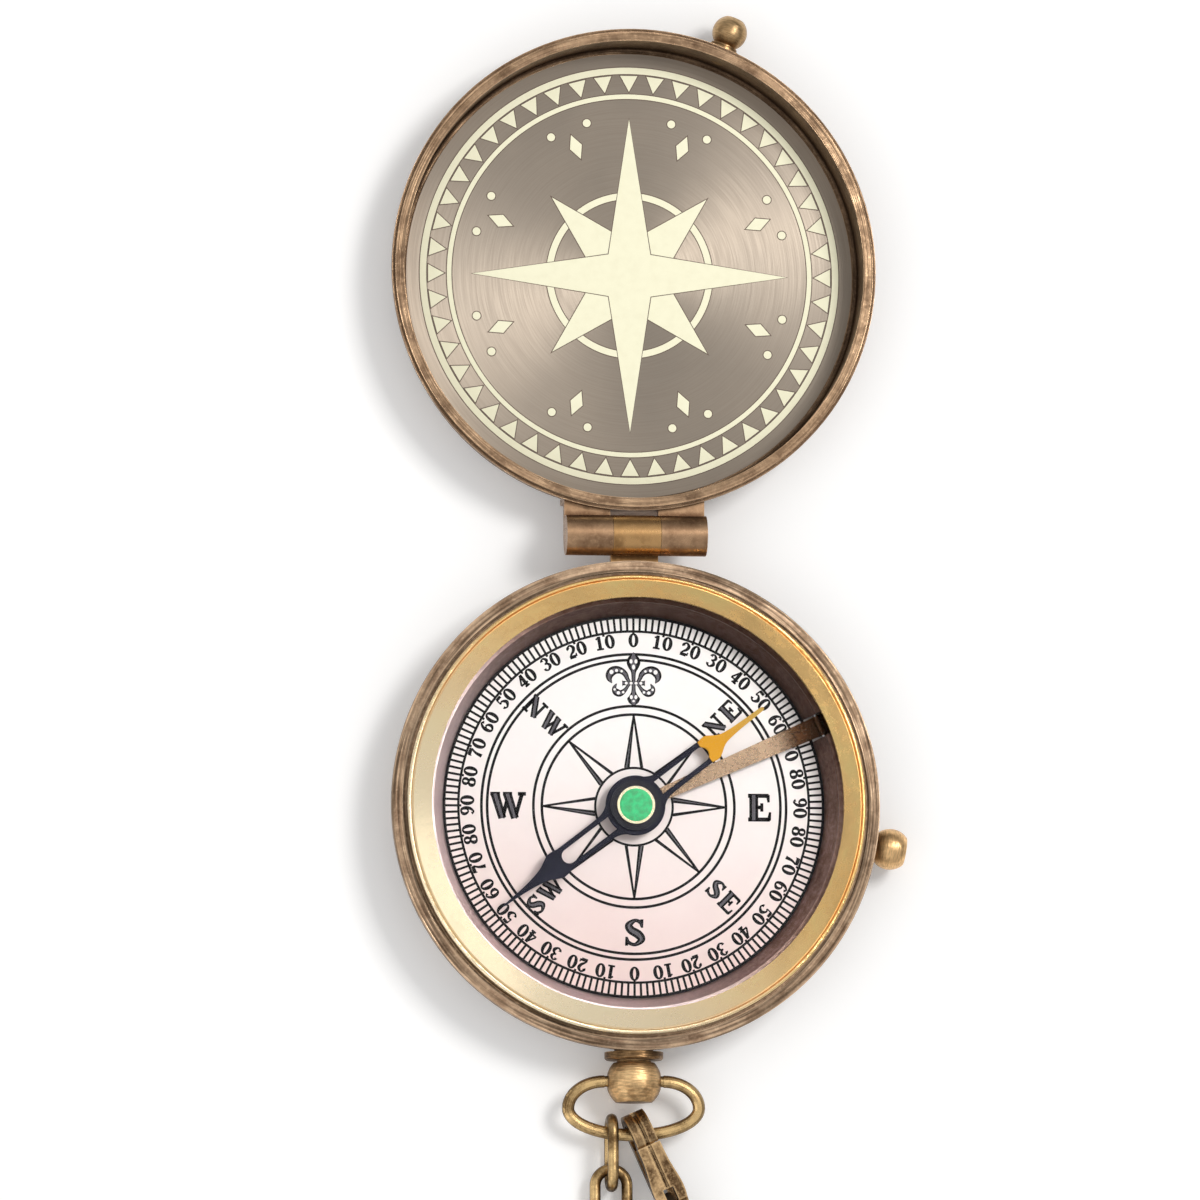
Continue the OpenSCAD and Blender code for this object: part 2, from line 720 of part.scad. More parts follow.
module lift_collar() color("#b08d57") difference() {
    union() {
        translate([0, 0, dial_z + collar_low_gap])
            cylinder(h = collar_z - dial_z - collar_low_gap + seat,
                r = pivot_r + running + collar_sleeve_t);
        translate([0, 0, collar_z]) cylinder(h = collar_flange_t, r = collar_flange_r);
    }
    cylinder(h = hub_z, r = pivot_r + running);
}

// One side of the blade's outline: along the rail, then down the arrowhead to its tip
function blade_side(reach, w, side) = concat([[0, side * rails_w / 2], [head_r, side * rails_w / 2]],
    [for (i = [0 : head_steps]) let (t = i / head_steps)
        [head_r + (reach - head_r) * t, side * (tip_w + (w - tip_w) * pow(1 - t, head_curve)) / 2]]);

// One half of the blade: two rails round a slot, and an arrowhead
module blade_half(reach, w) {
    left = blade_side(reach, w, 1);
    right = blade_side(reach, w, -1);
    difference() {
        polygon(concat(left, [for (i = [len(right) - 1 : -1 : 0]) right[i]]));
        translate([0, seat / 2 - slot_hw])
            square([head_r - rail_w - slot_hw, 2 * slot_hw - seat]);
        translate([head_r - rail_w - slot_hw, 0]) circle(slot_hw);
    }
}

module needle_blade() color("#1d2026") rotate([0, 0, needle_dir]) translate([0, 0, blade_z])
    difference() {
        union() {
            linear_extrude(blade_t) blade_half(north_len, rails_w * yellow_head_share);
            mirror([1, 0, 0]) linear_extrude(blade_t) blade_half(south_len, rails_w);
            cylinder(h = blade_t, d = blade_ring_d);
        }
        translate([0, 0, -over]) cylinder(h = blade_t + 2 * over, r = blade_eye_r);
    }

module needle_hub() color("#17181b") difference() {
    union() {
        translate([0, 0, hub_z]) cylinder(h = hub_boss_h + blade_t, r = hub_boss_r);
        translate([0, 0, blade_z + blade_t]) cylinder(h = hub_top_h, r = hub_top_r);
    }
    translate([0, 0, hub_z - over]) cylinder(h = hub_boss_h + over + hub_top_h, r = hub_bore_r);
    translate([0, 0, jewel_z - seat]) cylinder(h = jewel_h + over, r = jewel_r + seat);
}

module jewel_cup() color("#b4574f") difference() {
    translate([0, 0, jewel_z]) cylinder(h = jewel_h, r = jewel_r);
    translate([0, 0, jewel_z]) cylinder(h = jewel_apex_z - jewel_z, r1 = jewel_mouth_r,
        r2 = pivot_tip_r / 2);
}

module hub_ring() color("#c9b27a") translate([0, 0, hub_top_z + seat]) difference() {
    cylinder(h = hub_ring_h, r = hub_ring_r);
    translate([0, 0, hub_ring_floor]) cylinder(h = hub_ring_h, r = hub_disc_r + seat);
}

module hub_disc() color("#2fbf76") translate([0, 0, hub_top_z + hub_ring_floor + 2 * seat])
    cylinder(h = hub_disc_t, r = hub_disc_r);

// A round wire bent through turn degrees, from +Y on towards -X, centred on the bend
module bent_wire(bend_r, wire_r, turn) {
    rotate_extrude(angle = turn) translate([bend_r, 0]) circle(wire_r);
}

// Half the width that the bow sweeps at angle a, from 0 at its lowest point to 180 at the ball
function bow_sweep(a) = bow_half_w - (abs(a) > 90 ? bow_run : 0);
// Place on the bow's middle line at angle a, and its heading there
function bow_place(a) = [bow_sweep(a) * sin(a) + (abs(a) > 90 ? sign(a) * bow_run : 0),
    -bow_half_h * cos(a)];
function bow_heading(a) = atan2(bow_half_h * sin(a), bow_sweep(a) * cos(a));

// The bow's wire: rings of points square to its middle line, joined from end to end
module bow_wire() {
    polyhedron(
        points = [for (i = [0 : bow_rings], k = [0 : bow_facets - 1])
            let (a = 360 * i / bow_rings - 180, h = bow_heading(a), b = 360 * k / bow_facets)
            [bow_place(a)[0] + bow_r * cos(b) * sin(h), bow_place(a)[1] - bow_r * cos(b) * cos(h),
                bow_r * sin(b)]],
        faces = concat(
            [for (i = [0 : bow_rings - 1], k = [0 : bow_facets - 1], half = [0, 1])
                let (here = i * bow_facets, there = here + bow_facets, n = (k + 1) % bow_facets)
                half == 0 ? [here + k, here + n, there + n] : [here + k, there + n, there + k]],
            [[for (k = [bow_facets - 1 : -1 : 0]) k]],
            [[for (k = [0 : bow_facets - 1]) bow_rings * bow_facets + k]]));
}

module bow() color("#94783f") translate([0, -ball_y, pendant_z]) rotate([bow_droop, 0, 0]) {
    translate([0, -bow_half_h, 0]) bow_wire();
    for (side = [-1, 1]) translate([side * (pass_gap + bow_run + bow_r / 2) / 2, 0, 0])
        cross_rod(bow_run + bow_r / 2 - pass_gap, bow_pin_r);
}

// One closed link lying flat along X
module link() {
    for (end = [0, 1]) mirror([end, 0, 0]) translate([link_reach - link_bend_r, 0, 0])
        rotate([0, 0, -90]) bent_wire(link_bend_r, link_r, 180);
    for (side = [-1, 1]) translate([0, side * link_bend_r, 0])
        cross_rod(2 * (link_reach - link_bend_r), link_r);
}

module chain_links() color("#94783f") for (i = [0 : link_count - 1]) {
    s = chain_len * i / (link_count - 1);
    translate([chain_place(s)[0], chain_place(s)[1], link_z[i % 2]])
        rotate([0, 0, chain_heading(s)]) rotate([i % 2 == 0 ? 90 : 0, 0, 0]) link();
}

// Places a side view of the clasp, u along X and v along Y, with thickness w
module clasp_slab(w) {
    translate([clasp_at[0], clasp_at[1], 0]) rotate([90, 0, clasp_dir])
        linear_extrude(w, center = true) children();
}

module clasp_body() color("#94783f") difference() {
    union() {
        clasp_slab(clasp_w) {
            difference() {
                translate([clasp_nose_r, clasp_nose_r]) circle(clasp_nose_r);
                translate([clasp_nose_r, clasp_nose_r]) circle(clasp_nose_r - clasp_bar);
                translate([gate_tip_u - gate_play, clasp_bar])
                    square([clasp_nose_r, 2 * clasp_nose_r]);
            }
            translate([clasp_nose_r, 0]) square([gate_pin_u - clasp_nose_r, clasp_bar]);
        }
        clasp_slab(clasp_tang_w) {
            translate([gate_pin_u, gate_pin_v]) circle(gate_boss_r);
            polygon([
                [gate_pin_u - gate_boss_r, gate_pin_v],
                [gate_pin_u - 2 * gate_boss_r, clasp_bar],
                [gate_pin_u - 2 * gate_boss_r, clasp_bar / 2],
                [clasp_l, clasp_eye_v - clasp_tail_r],
                [clasp_l, clasp_eye_v + clasp_tail_r],
                [gate_pin_u + gate_boss_r, gate_pin_v]
            ]);
        }
        clasp_slab(clasp_tail_w) translate([clasp_l, clasp_eye_v]) circle(clasp_tail_r);
    }
    clasp_slab(clasp_w + over) translate([clasp_l, clasp_eye_v]) circle(clasp_eye_r);
    clasp_slab(clasp_w + over) translate([gate_pin_u, gate_pin_v]) circle(gate_pin_r + seat);
    clasp_slab(groove_w) difference() {
        translate([0, clasp_nose_r]) square([2 * clasp_nose_r, clasp_nose_r + over]);
        translate([clasp_nose_r, clasp_nose_r]) circle(clasp_nose_r - groove_t);
    }
}

// Half the gate's width at u: its cheeks swell out on the way to the pin
function gate_half_w(u) = gate_w / 2
    + gate_swell * pow(sin(180 * pow((u - gate_tip_u) / (gate_end_u - gate_tip_u), 1.5)), 2);

// One side of the gate seen from above, on side 1 from its tip and on side -1 back to it
function gate_side(side) = [for (i = [0 : gate_swell_steps])
    let (t = side > 0 ? i / gate_swell_steps : 1 - i / gate_swell_steps,
        u = gate_tip_u + (gate_end_u - gate_tip_u) * t)
    [u, side * gate_half_w(u)]];

module clasp_pin() color("#b8955a") clasp_slab(2 * gate_half_w(gate_pin_u))
    translate([gate_pin_u, gate_pin_v]) circle(gate_pin_r);

module clasp_gate() color("#a9854c") difference() {
    intersection() {
        clasp_slab(gate_w + 2 * gate_swell) {
            translate([gate_tip_u, gate_v]) square([gate_pin_u - gate_tip_u, gate_h]);
            translate([gate_pin_u, gate_pin_v]) circle(gate_boss_r);
        }
        translate([clasp_at[0], clasp_at[1], 0]) rotate([0, 0, clasp_dir])
            linear_extrude(4 * clasp_nose_r) polygon(concat(gate_side(1), gate_side(-1)));
    }
    clasp_slab(gate_w - 2 * gate_cheek_t) translate([gate_tip_u + gate_web_l, 0])
        square([clasp_l, 4 * clasp_nose_r]);
    clasp_slab(groove_w) translate([gate_tip_u - over, gate_v + gate_h - groove_t])
        square([clasp_l, 2 * clasp_nose_r]);
    clasp_slab(gate_w + 2 * gate_swell + over) translate([gate_pin_u, gate_pin_v])
        circle(gate_pin_r + running);
}

module gate_spring() color("#9a9da1") clasp_slab(gate_spring_w)
    translate([gate_pin_u - 2 * gate_boss_r - seat, clasp_bar + seat]) difference() {
        rotate(-gate_spring_slope) translate([-gate_spring_l, 0])
            square([gate_spring_l, gate_spring_t]);
        translate([0, -over]) square([gate_spring_l, gate_spring_l]);
    }

case_body();
dial_support_ring();
dial_plate();
spacer_ring();
crystal();
bezel_ring();
pivot_foot();
pivot_pin();
lever_pin();
case_hinge_leaf();
case_hinge_rivets();
hinge_pin();
pendant_plate();
pendant_ball();
lid_shell();
lid_plate();
lid_hinge_leaf();
lid_hinge_rivets();
lid_knob_collar();
lid_knob();
lock_slider();
lock_collar();
lock_knob();
lifter_lever();
lift_collar();
needle_blade();
needle_hub();
jewel_cup();
hub_ring();
hub_disc();
bow();
chain_links();
clasp_body();
clasp_pin();
clasp_gate();
gate_spring();
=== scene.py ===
import math

import bpy
import numpy as np
from mathutils import Euler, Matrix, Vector


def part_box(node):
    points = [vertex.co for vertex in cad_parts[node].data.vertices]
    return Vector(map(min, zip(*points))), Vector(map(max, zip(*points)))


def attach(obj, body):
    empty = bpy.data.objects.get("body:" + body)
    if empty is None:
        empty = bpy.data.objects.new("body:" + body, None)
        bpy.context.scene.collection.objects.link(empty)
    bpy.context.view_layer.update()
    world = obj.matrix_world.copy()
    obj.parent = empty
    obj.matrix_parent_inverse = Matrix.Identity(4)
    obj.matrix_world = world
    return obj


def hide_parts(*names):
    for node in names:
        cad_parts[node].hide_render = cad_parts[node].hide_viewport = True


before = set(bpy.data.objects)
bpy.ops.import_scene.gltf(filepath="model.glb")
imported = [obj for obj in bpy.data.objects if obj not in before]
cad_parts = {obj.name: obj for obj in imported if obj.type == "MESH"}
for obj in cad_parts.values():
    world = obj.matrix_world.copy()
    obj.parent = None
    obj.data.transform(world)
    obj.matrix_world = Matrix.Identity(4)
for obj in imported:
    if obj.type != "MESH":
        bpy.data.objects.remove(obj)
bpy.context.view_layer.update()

MM = 0.001

# --- Camera, floor and studio light --------------------------------------------------------
# The compass lies on a pale sweep and is looked at almost straight from above, from a little
# to the lower left, through a long lens. Two soft boxes and a dome that is pale overhead light it.
CAMERA_AT = (-170.55, -148.2, 1509.6)
CAMERA_TURN = (6.805, -6.259, -0.169)
LENS = 298.14

camera_data = bpy.data.cameras.new("camera")
camera_data.lens = LENS
camera_data.sensor_width = 36
camera_data.sensor_fit = "HORIZONTAL"
camera_data.clip_start = 0.05
camera = bpy.data.objects.new("camera", camera_data)
camera.location = [MM * c for c in CAMERA_AT]
camera.rotation_euler = Euler([math.radians(a) for a in CAMERA_TURN], "XYZ")
bpy.context.collection.objects.link(camera)
scene = bpy.context.scene
scene.camera = camera
scene.view_settings.view_transform = "Standard"


def mesh_object(name, points, faces):
    """A flat-shaded mesh object at the origin, from points in metres and a list of faces."""
    mesh = bpy.data.meshes.new(name)
    mesh.from_pydata(np.asarray(points, float).tolist(), [], [tuple(f) for f in faces])
    mesh.polygons.foreach_set("use_smooth", np.zeros(len(mesh.polygons), bool))
    mesh.update()
    piece = bpy.data.objects.new(name, mesh)
    bpy.context.collection.objects.link(piece)
    return piece


def nodes_of(material):
    """The node tree of a material, and the Principled shader in it."""
    material.use_nodes = True
    return material.node_tree, material.node_tree.nodes["Principled BSDF"]


def wire(tree, source, target):
    """Joins an output socket to an input socket."""
    tree.links.new(source, target)


FLOOR_HALF = 1.2
FLOOR_WHITE = 0.95
FLOOR_GLOW = 0.13
corners = [(x * FLOOR_HALF, y * FLOOR_HALF, 0) for x, y in ((-1, -1), (1, -1), (1, 1), (-1, 1))]
floor = mesh_object("floor", corners, [(0, 1, 2, 3)])
paper = bpy.data.materials.new("paper sweep")
tree, shader = nodes_of(paper)
shader.inputs["Base Color"].default_value = (FLOOR_WHITE, FLOOR_WHITE, FLOOR_WHITE, 1)
shader.inputs["Roughness"].default_value = 0.9
shader.inputs["Emission Color"].default_value = (1, 1, 1, 1)
seen = tree.nodes.new("ShaderNodeLightPath")
glow = None
for ray in ("Is Camera Ray", "Is Glossy Ray", "Is Transmission Ray"):
    part = tree.nodes.new("ShaderNodeMath")
    part.operation = "MULTIPLY_ADD"
    part.inputs[1].default_value = FLOOR_GLOW
    part.inputs[2].default_value = 0.0
    wire(tree, seen.outputs[ray], part.inputs[0])
    if glow is not None:
        wire(tree, glow, part.inputs[2])
    glow = part.outputs[0]
wire(tree, glow, shader.inputs["Emission Strength"])
floor.data.materials.append(paper)


def soft_box(name, at, aim, size, watts, colour=(1, 1, 1)):
    """A square area lamp at a place in metres, turned to shine at another place."""
    data = bpy.data.lights.new(name, "AREA")
    data.size = size
    data.energy = watts
    data.color = colour
    lamp = bpy.data.objects.new(name, data)
    lamp.location = at
    lamp.rotation_euler = (Vector(aim) - Vector(at)).to_track_quat("-Z", "Y").to_euler()
    bpy.context.collection.objects.link(lamp)


soft_box("key box", (0.50, 0.34, 0.95), (0, 0.03, 0), 0.34, 5.2, (1.0, 0.985, 0.965))
soft_box("left box", (-0.85, -0.5, 0.70), (0, 0, 0), 1.0, 1.7, (1.0, 0.99, 0.975))

SKY_STRENGTH = 0.77
SKY_LEAN = (-0.22, -0.14, 1.0)
SKY_STEPS = ((0.06, (0.21, 0.205, 0.20, 1)), (0.58, (0.88, 0.88, 0.88, 1)))
world = bpy.data.worlds.new("studio")
scene.world = world
world.use_nodes = True
tree = world.node_tree
sky = tree.nodes["Background"]
upward = tree.nodes.new("ShaderNodeTexCoord")
dome = tree.nodes.new("ShaderNodeValToRGB")
lean = tree.nodes.new("ShaderNodeVectorMath")
lean.operation = "DOT_PRODUCT"
lean.inputs[1].default_value = SKY_LEAN
wire(tree, upward.outputs["Generated"], lean.inputs[0])
wire(tree, lean.outputs["Value"], dome.inputs["Fac"])
for step, (height, colour) in zip(dome.color_ramp.elements, SKY_STEPS):
    step.position = height
    step.color = colour
wire(tree, dome.outputs["Color"], sky.inputs["Color"])
sky.inputs["Strength"].default_value = SKY_STRENGTH


# --- Brass finishes ------------------------------------------------------------------------
# The brass pieces were turned, stamped or bent from wire, toned dark in a bath and then rubbed
# back by hand, so that their hollows stay dark and their edges come up bright.
def new_group(name, inputs, outputs):
    """A shader node group with the given float, colour or vector sockets, and its two ends."""
    group = bpy.data.node_groups.new(name, "ShaderNodeTree")
    kinds = {"f": "NodeSocketFloat", "c": "NodeSocketColor", "v": "NodeSocketVector"}
    for label, kind, value in inputs:
        socket = group.interface.new_socket(label, in_out="INPUT", socket_type=kinds[kind])
        if value is not None:
            socket.default_value = value
    for label, kind in outputs:
        group.interface.new_socket(label, in_out="OUTPUT", socket_type=kinds[kind])
    return group, group.nodes.new("NodeGroupInput"), group.nodes.new("NodeGroupOutput")


def math_node(tree, operation, a, b=None, c=None, clamp=False):
    """A math node; each operand is a socket or a number."""
    node = tree.nodes.new("ShaderNodeMath")
    node.operation = operation
    node.use_clamp = clamp
    for index, value in enumerate((a, b, c)):
        if value is None:
            continue
        if isinstance(value, (int, float)):
            node.inputs[index].default_value = value
        else:
            tree.links.new(value, node.inputs[index])
    return node.outputs[0]


def mix_colours(tree, factor, a, b, blend="MIX"):
    """A colour mix; each of its three operands is a socket or a value."""
    node = tree.nodes.new("ShaderNodeMix")
    node.data_type = "RGBA"
    node.blend_type = blend
    for socket, value in ((node.inputs[0], factor), (node.inputs[6], a), (node.inputs[7], b)):
        if isinstance(value, (int, float, tuple)):
            socket.default_value = value
        else:
            tree.links.new(value, socket)
    return node.outputs[2]


def noise(tree, vector, scale, detail=3.0, rough=0.55):
    """Noise on a vector, as a value from 0 to 1."""
    node = tree.nodes.new("ShaderNodeTexNoise")
    node.inputs["Scale"].default_value = scale
    node.inputs["Detail"].default_value = detail
    node.inputs["Roughness"].default_value = rough
    tree.links.new(vector, node.inputs["Vector"])
    return node.outputs["Fac"]


def fade(tree, value, low, high):
    """A smooth step that goes from 0 at low to 1 at high."""
    node = tree.nodes.new("ShaderNodeMapRange")
    node.interpolation_type = "SMOOTHSTEP"
    tree.links.new(value, node.inputs["Value"])
    node.inputs["From Min"].default_value = low
    node.inputs["From Max"].default_value = high
    return node.outputs["Result"]


# Turning marks are noise on three values: radius and height together, drawn out into fine
# lines, and the sine and cosine of the angle, which break the lines up on their way round.
LINE_CLIMB, LINE_BREAKS = 2.3, 2.4
turning, ends, out = new_group("turning marks", [("Vector", "v", None), ("Lines", "f", 6000.0)],
                               [("Value", "f")])
split = turning.nodes.new("ShaderNodeSeparateXYZ")
wire(turning, ends.outputs["Vector"], split.inputs[0])
radius = math_node(turning, "SQRT", math_node(turning, "ADD",
                   math_node(turning, "MULTIPLY", split.outputs[0], split.outputs[0]),
                   math_node(turning, "MULTIPLY", split.outputs[1], split.outputs[1])))
around = math_node(turning, "ARCTAN2", split.outputs[1], split.outputs[0])
spiral = turning.nodes.new("ShaderNodeCombineXYZ")
climb = math_node(turning, "MULTIPLY_ADD", split.outputs[2], LINE_CLIMB, radius)
wire(turning, math_node(turning, "MULTIPLY", climb, ends.outputs["Lines"]), spiral.inputs[0])
for index, wave in ((1, "SINE"), (2, "COSINE")):
    wire(turning, math_node(turning, "MULTIPLY", math_node(turning, wave, around), LINE_BREAKS),
         spiral.inputs[index])
marks = turning.nodes.new("ShaderNodeTexNoise")
marks.inputs["Scale"].default_value = 1.0
marks.inputs["Detail"].default_value = 4.0
wire(turning, spiral.outputs[0], marks.inputs["Vector"])
wire(turning, fade(turning, marks.outputs["Fac"], 0.30, 0.70), out.inputs["Value"])

# Aged brass goes from bright to toned where a cloud, a finer speck and the dirt in its hollows
# add up, and back to bright on bare edges, where a rounded normal leaves the face's own.
HOLLOW_REACH = 1.2 * MM
CLOUD_SCALE, SPECK_SCALE = 240.0, 1400.0
BRIGHT_ROUGHNESS, TONED_ROUGHER = 0.24, 0.26
aged, ends, out = new_group("aged brass", [
    ("Vector", "v", None), ("Bright", "c", (0.7, 0.5, 0.25, 1)),
    ("Toned", "c", (0.2, 0.13, 0.06, 1)), ("Tone", "f", 0.5), ("Hollow", "f", 0.8),
    ("Rub", "f", 0.7), ("Edge", "f", 0.16 * MM), ("Patches", "f", 1.4)],
    [("Color", "c"), ("Roughness", "f"), ("Height", "f")])
vector = ends.outputs["Vector"]
cloud = noise(aged, vector, CLOUD_SCALE, 6.0, 0.62)
speck = noise(aged, vector, SPECK_SCALE, 3.0, 0.65)
hollow = aged.nodes.new("ShaderNodeAmbientOcclusion")
hollow.samples = 6
hollow.only_local = True
hollow.inputs["Distance"].default_value = HOLLOW_REACH
edge = aged.nodes.new("ShaderNodeBevel")
edge.samples = 4
wire(aged, ends.outputs["Edge"], edge.inputs["Radius"])
face = aged.nodes.new("ShaderNodeNewGeometry")
lean = aged.nodes.new("ShaderNodeVectorMath")
lean.operation = "DOT_PRODUCT"
wire(aged, edge.outputs["Normal"], lean.inputs[0])
wire(aged, face.outputs["Normal"], lean.inputs[1])
leaving = math_node(aged, "SUBTRACT", 1.0, lean.outputs["Value"])
bare_edge = fade(aged, math_node(aged, "ADD", leaving, math_node(aged, "MULTIPLY", speck, 0.16)),
                 0.07, 0.17)
dirt = math_node(aged, "MULTIPLY", math_node(aged, "SUBTRACT", 1.0, hollow.outputs["AO"]),
                 ends.outputs["Hollow"])
tone = math_node(aged, "ADD", ends.outputs["Tone"],
                 math_node(aged, "MULTIPLY", math_node(aged, "SUBTRACT", cloud, 0.5),
                           ends.outputs["Patches"]))
tone = math_node(aged, "ADD", tone,
                 math_node(aged, "MULTIPLY", math_node(aged, "SUBTRACT", speck, 0.5), 0.9))
tone = fade(aged, math_node(aged, "ADD", tone, dirt), 0.12, 0.88)
tone = math_node(aged, "SUBTRACT", tone,
                 math_node(aged, "MULTIPLY", bare_edge, ends.outputs["Rub"]), clamp=True)
wire(aged, mix_colours(aged, tone, ends.outputs["Bright"], ends.outputs["Toned"]),
     out.inputs["Color"])
wire(aged, math_node(aged, "ADD", BRIGHT_ROUGHNESS,
                     math_node(aged, "MULTIPLY", tone, TONED_ROUGHER)), out.inputs["Roughness"])
wire(aged, math_node(aged, "ADD", math_node(aged, "MULTIPLY", speck, 0.6), cloud),
     out.inputs["Height"])


def place_group(tree, group, **values):
    """Puts a node group in a tree and sets its inputs, spaces written as underscores."""
    node = tree.nodes.new("ShaderNodeGroup")
    node.node_tree = group
    for label, value in values.items():
        socket = node.inputs[label.replace("_", " ")]
        if isinstance(value, (int, float, tuple)):
            socket.default_value = value
        else:
            tree.links.new(value, socket)
    return node


def place_vector(tree, centre=(0, 0, 0), turn=(0, 0, 0)):
    """Object coordinates in metres, moved so that a centre given in mm comes to the origin."""
    source = tree.nodes.new("ShaderNodeTexCoord")
    shift = tree.nodes.new("ShaderNodeMapping")
    shift.vector_type = "TEXTURE"
    shift.inputs["Location"].default_value = [MM * c for c in centre]
    shift.inputs["Rotation"].default_value = [math.radians(a) for a in turn]
    wire(tree, source.outputs["Object"], shift.inputs["Vector"])
    return shift.outputs["Vector"]


def brass(name, bright, toned, tone=0.5, hollow=0.8, rub=0.7, bump=0.03, centre=None,
          turn=(0, 0, 0), lines=6000.0, turned=0.35, polish=0.0, edge=0.16, patches=1.4):
    """Aged brass; with a centre it also has turning marks about that axis."""
    material = bpy.data.materials.new(name)
    tree, shader = nodes_of(material)
    vector = place_vector(tree, centre or (0, 0, 0), turn)
    group = place_group(tree, aged, Vector=vector, Bright=(*bright, 1), Toned=(*toned, 1),
                        Tone=tone, Hollow=hollow, Rub=rub, Edge=edge * MM, Patches=patches)
    colour, height = group.outputs["Color"], group.outputs["Height"]
    if centre is not None:
        marks = place_group(tree, turning, Vector=vector, Lines=lines).outputs["Value"]
        shade = math_node(tree, "ADD", 1.0 - turned / 2, math_node(tree, "MULTIPLY", marks, turned))
        grey = tree.nodes.new("ShaderNodeCombineColor")
        for index in range(3):
            wire(tree, shade, grey.inputs[index])
        colour = mix_colours(tree, 1.0, colour, grey.outputs[0], "MULTIPLY")
        height = math_node(tree, "ADD", height, math_node(tree, "MULTIPLY", marks, 2.0))
    wire(tree, colour, shader.inputs["Base Color"])
    wire(tree, math_node(tree, "SUBTRACT", group.outputs["Roughness"], polish),
         shader.inputs["Roughness"])
    relief = tree.nodes.new("ShaderNodeBump")
    relief.inputs["Strength"].default_value = 0.35
    relief.inputs["Distance"].default_value = bump * MM
    wire(tree, height, relief.inputs["Height"])
    wire(tree, relief.outputs["Normal"], shader.inputs["Normal"])
    shader.inputs["Metallic"].default_value = 1.0
    return material


# --- Case ----------------------------------------------------------------------------------
# The case is a drawn and turned brass cup with a flat flange, and a ring inside carries the dial.
# Its finish is dark, with plain turning marks, and rubbed bright along the flange's edges.
def dress(material, *names):
    """Gives the named CAD nodes one material."""
    for name in names:
        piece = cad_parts[name]
        piece.data.materials.clear()
        piece.data.materials.append(material)


case_brass = brass("case brass", (0.50, 0.355, 0.235), (0.125, 0.075, 0.046), 0.60, 1.4, 1.1,
                   centre=(0, 0, 0), lines=2500.0, turned=1.15, edge=0.5, patches=1.2)
dress(case_brass, "case_body", "dial_support_ring")

# --- Dial ----------------------------------------------------------------------------------
# The dial is a silvered brass disc, printed in black with a degree ring, figures, letters, a
# rose and a lily. Towards the bottom a faint pink is painted into its colour, a painted reflection
# of the light that comes off the case.
silvered = bpy.data.materials.new("silvered dial")
tree, shader = nodes_of(silvered)
vector = place_vector(tree)
split = tree.nodes.new("ShaderNodeSeparateXYZ")
wire(tree, vector, split.inputs[0])
# Painted reflection: the silver turns faint pink towards the bottom of the dial.
painted_pink_reflection = fade(tree, math_node(tree, "ADD", split.outputs[1],
                             math_node(tree, "MULTIPLY", noise(tree, vector, 60.0), 0.02)),
             0.030, -0.024)
mottle = noise(tree, vector, 900.0, 4.0)
silver = mix_colours(tree, painted_pink_reflection, (0.80, 0.768, 0.753, 1), (0.69, 0.53, 0.50, 1))
silver = mix_colours(tree, math_node(tree, "MULTIPLY", mottle, 0.10), silver,
                     (0.62, 0.54, 0.525, 1))
wire(tree, silver, shader.inputs["Base Color"])
shader.inputs["Metallic"].default_value = 0.25
wire(tree, math_node(tree, "ADD", 0.36, math_node(tree, "MULTIPLY", mottle, 0.18)),
     shader.inputs["Roughness"])
dress(silvered, "dial_plate")


def mottled(name, first, second, scale, detail=3.0, span=None, **settings):
    """A material that goes from one colour to another with noise, or with its part between the
    two values of a span. The settings are shader inputs, their spaces written as underscores."""
    material = bpy.data.materials.new(name)
    tree, shader = nodes_of(material)
    cloud = noise(tree, place_vector(tree), scale, detail)
    if span is not None:
        cloud = fade(tree, cloud, *span)
    wire(tree, mix_colours(tree, cloud, (*first, 1), (*second, 1)), shader.inputs["Base Color"])
    for label, value in settings.items():
        shader.inputs[label.replace("_", " ")].default_value = value
    return material


def ribbon(left, right, low, high, closed=False):
    """A flat band between two edges, as points and faces. Station i has four points: left and
    right at the low height, right and left at the high height; neighbouring stations are joined
    by four strips, and an open band is capped at both ends. Lengths are in mm."""
    left, right = np.asarray(left, float), np.asarray(right, float)
    count = len(left)
    rows = [np.column_stack([edge, np.full(count, z)])
            for edge, z in ((left, low), (right, low), (right, high), (left, high))]
    points = np.stack(rows, 1).reshape(-1, 3)
    here = np.arange(count if closed else count - 1)
    there = (here + 1) % count
    k = np.arange(4)
    faces = np.stack([here[:, None] * 4 + k, here[:, None] * 4 + (k + 1) % 4,
                      there[:, None] * 4 + (k + 1) % 4, there[:, None] * 4 + k], -1).reshape(-1, 4)
    faces = faces.tolist()
    if not closed:
        faces += [[3, 2, 1, 0], [4 * count - 4, 4 * count - 3, 4 * count - 2, 4 * count - 1]]
    return points, faces


def joined(parts):
    """Several sets of points and faces made one."""
    points, faces, start = [], [], 0
    for some_points, some_faces in parts:
        points.append(some_points)
        faces += [[start + i for i in face] for face in some_faces]
        start += len(some_points)
    return np.concatenate(points), faces


def print_on(name, parts, material, body):
    """Makes printed bands into one piece, in metres, with its faces turned outwards."""
    points, faces = joined(parts)
    piece = mesh_object(name, points * MM, faces)
    piece.data.materials.append(material)
    bpy.context.view_layer.objects.active = piece
    piece.select_set(True)
    bpy.ops.object.mode_set(mode="EDIT")
    bpy.ops.mesh.select_all(action="SELECT")
    bpy.ops.mesh.normals_make_consistent(inside=False)
    bpy.ops.object.mode_set(mode="OBJECT")
    piece.select_set(False)
    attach(piece, body)
    return piece


def hoop(centre, inner, outer, low, high):
    """A closed band round a centre between two radii, with a station every 2 degrees."""
    turn = np.radians(np.linspace(0, 360, 180, endpoint=False))
    way = np.column_stack([np.cos(turn), np.sin(turn)])
    return ribbon(centre + inner * way, centre + outer * way, low, high, True)


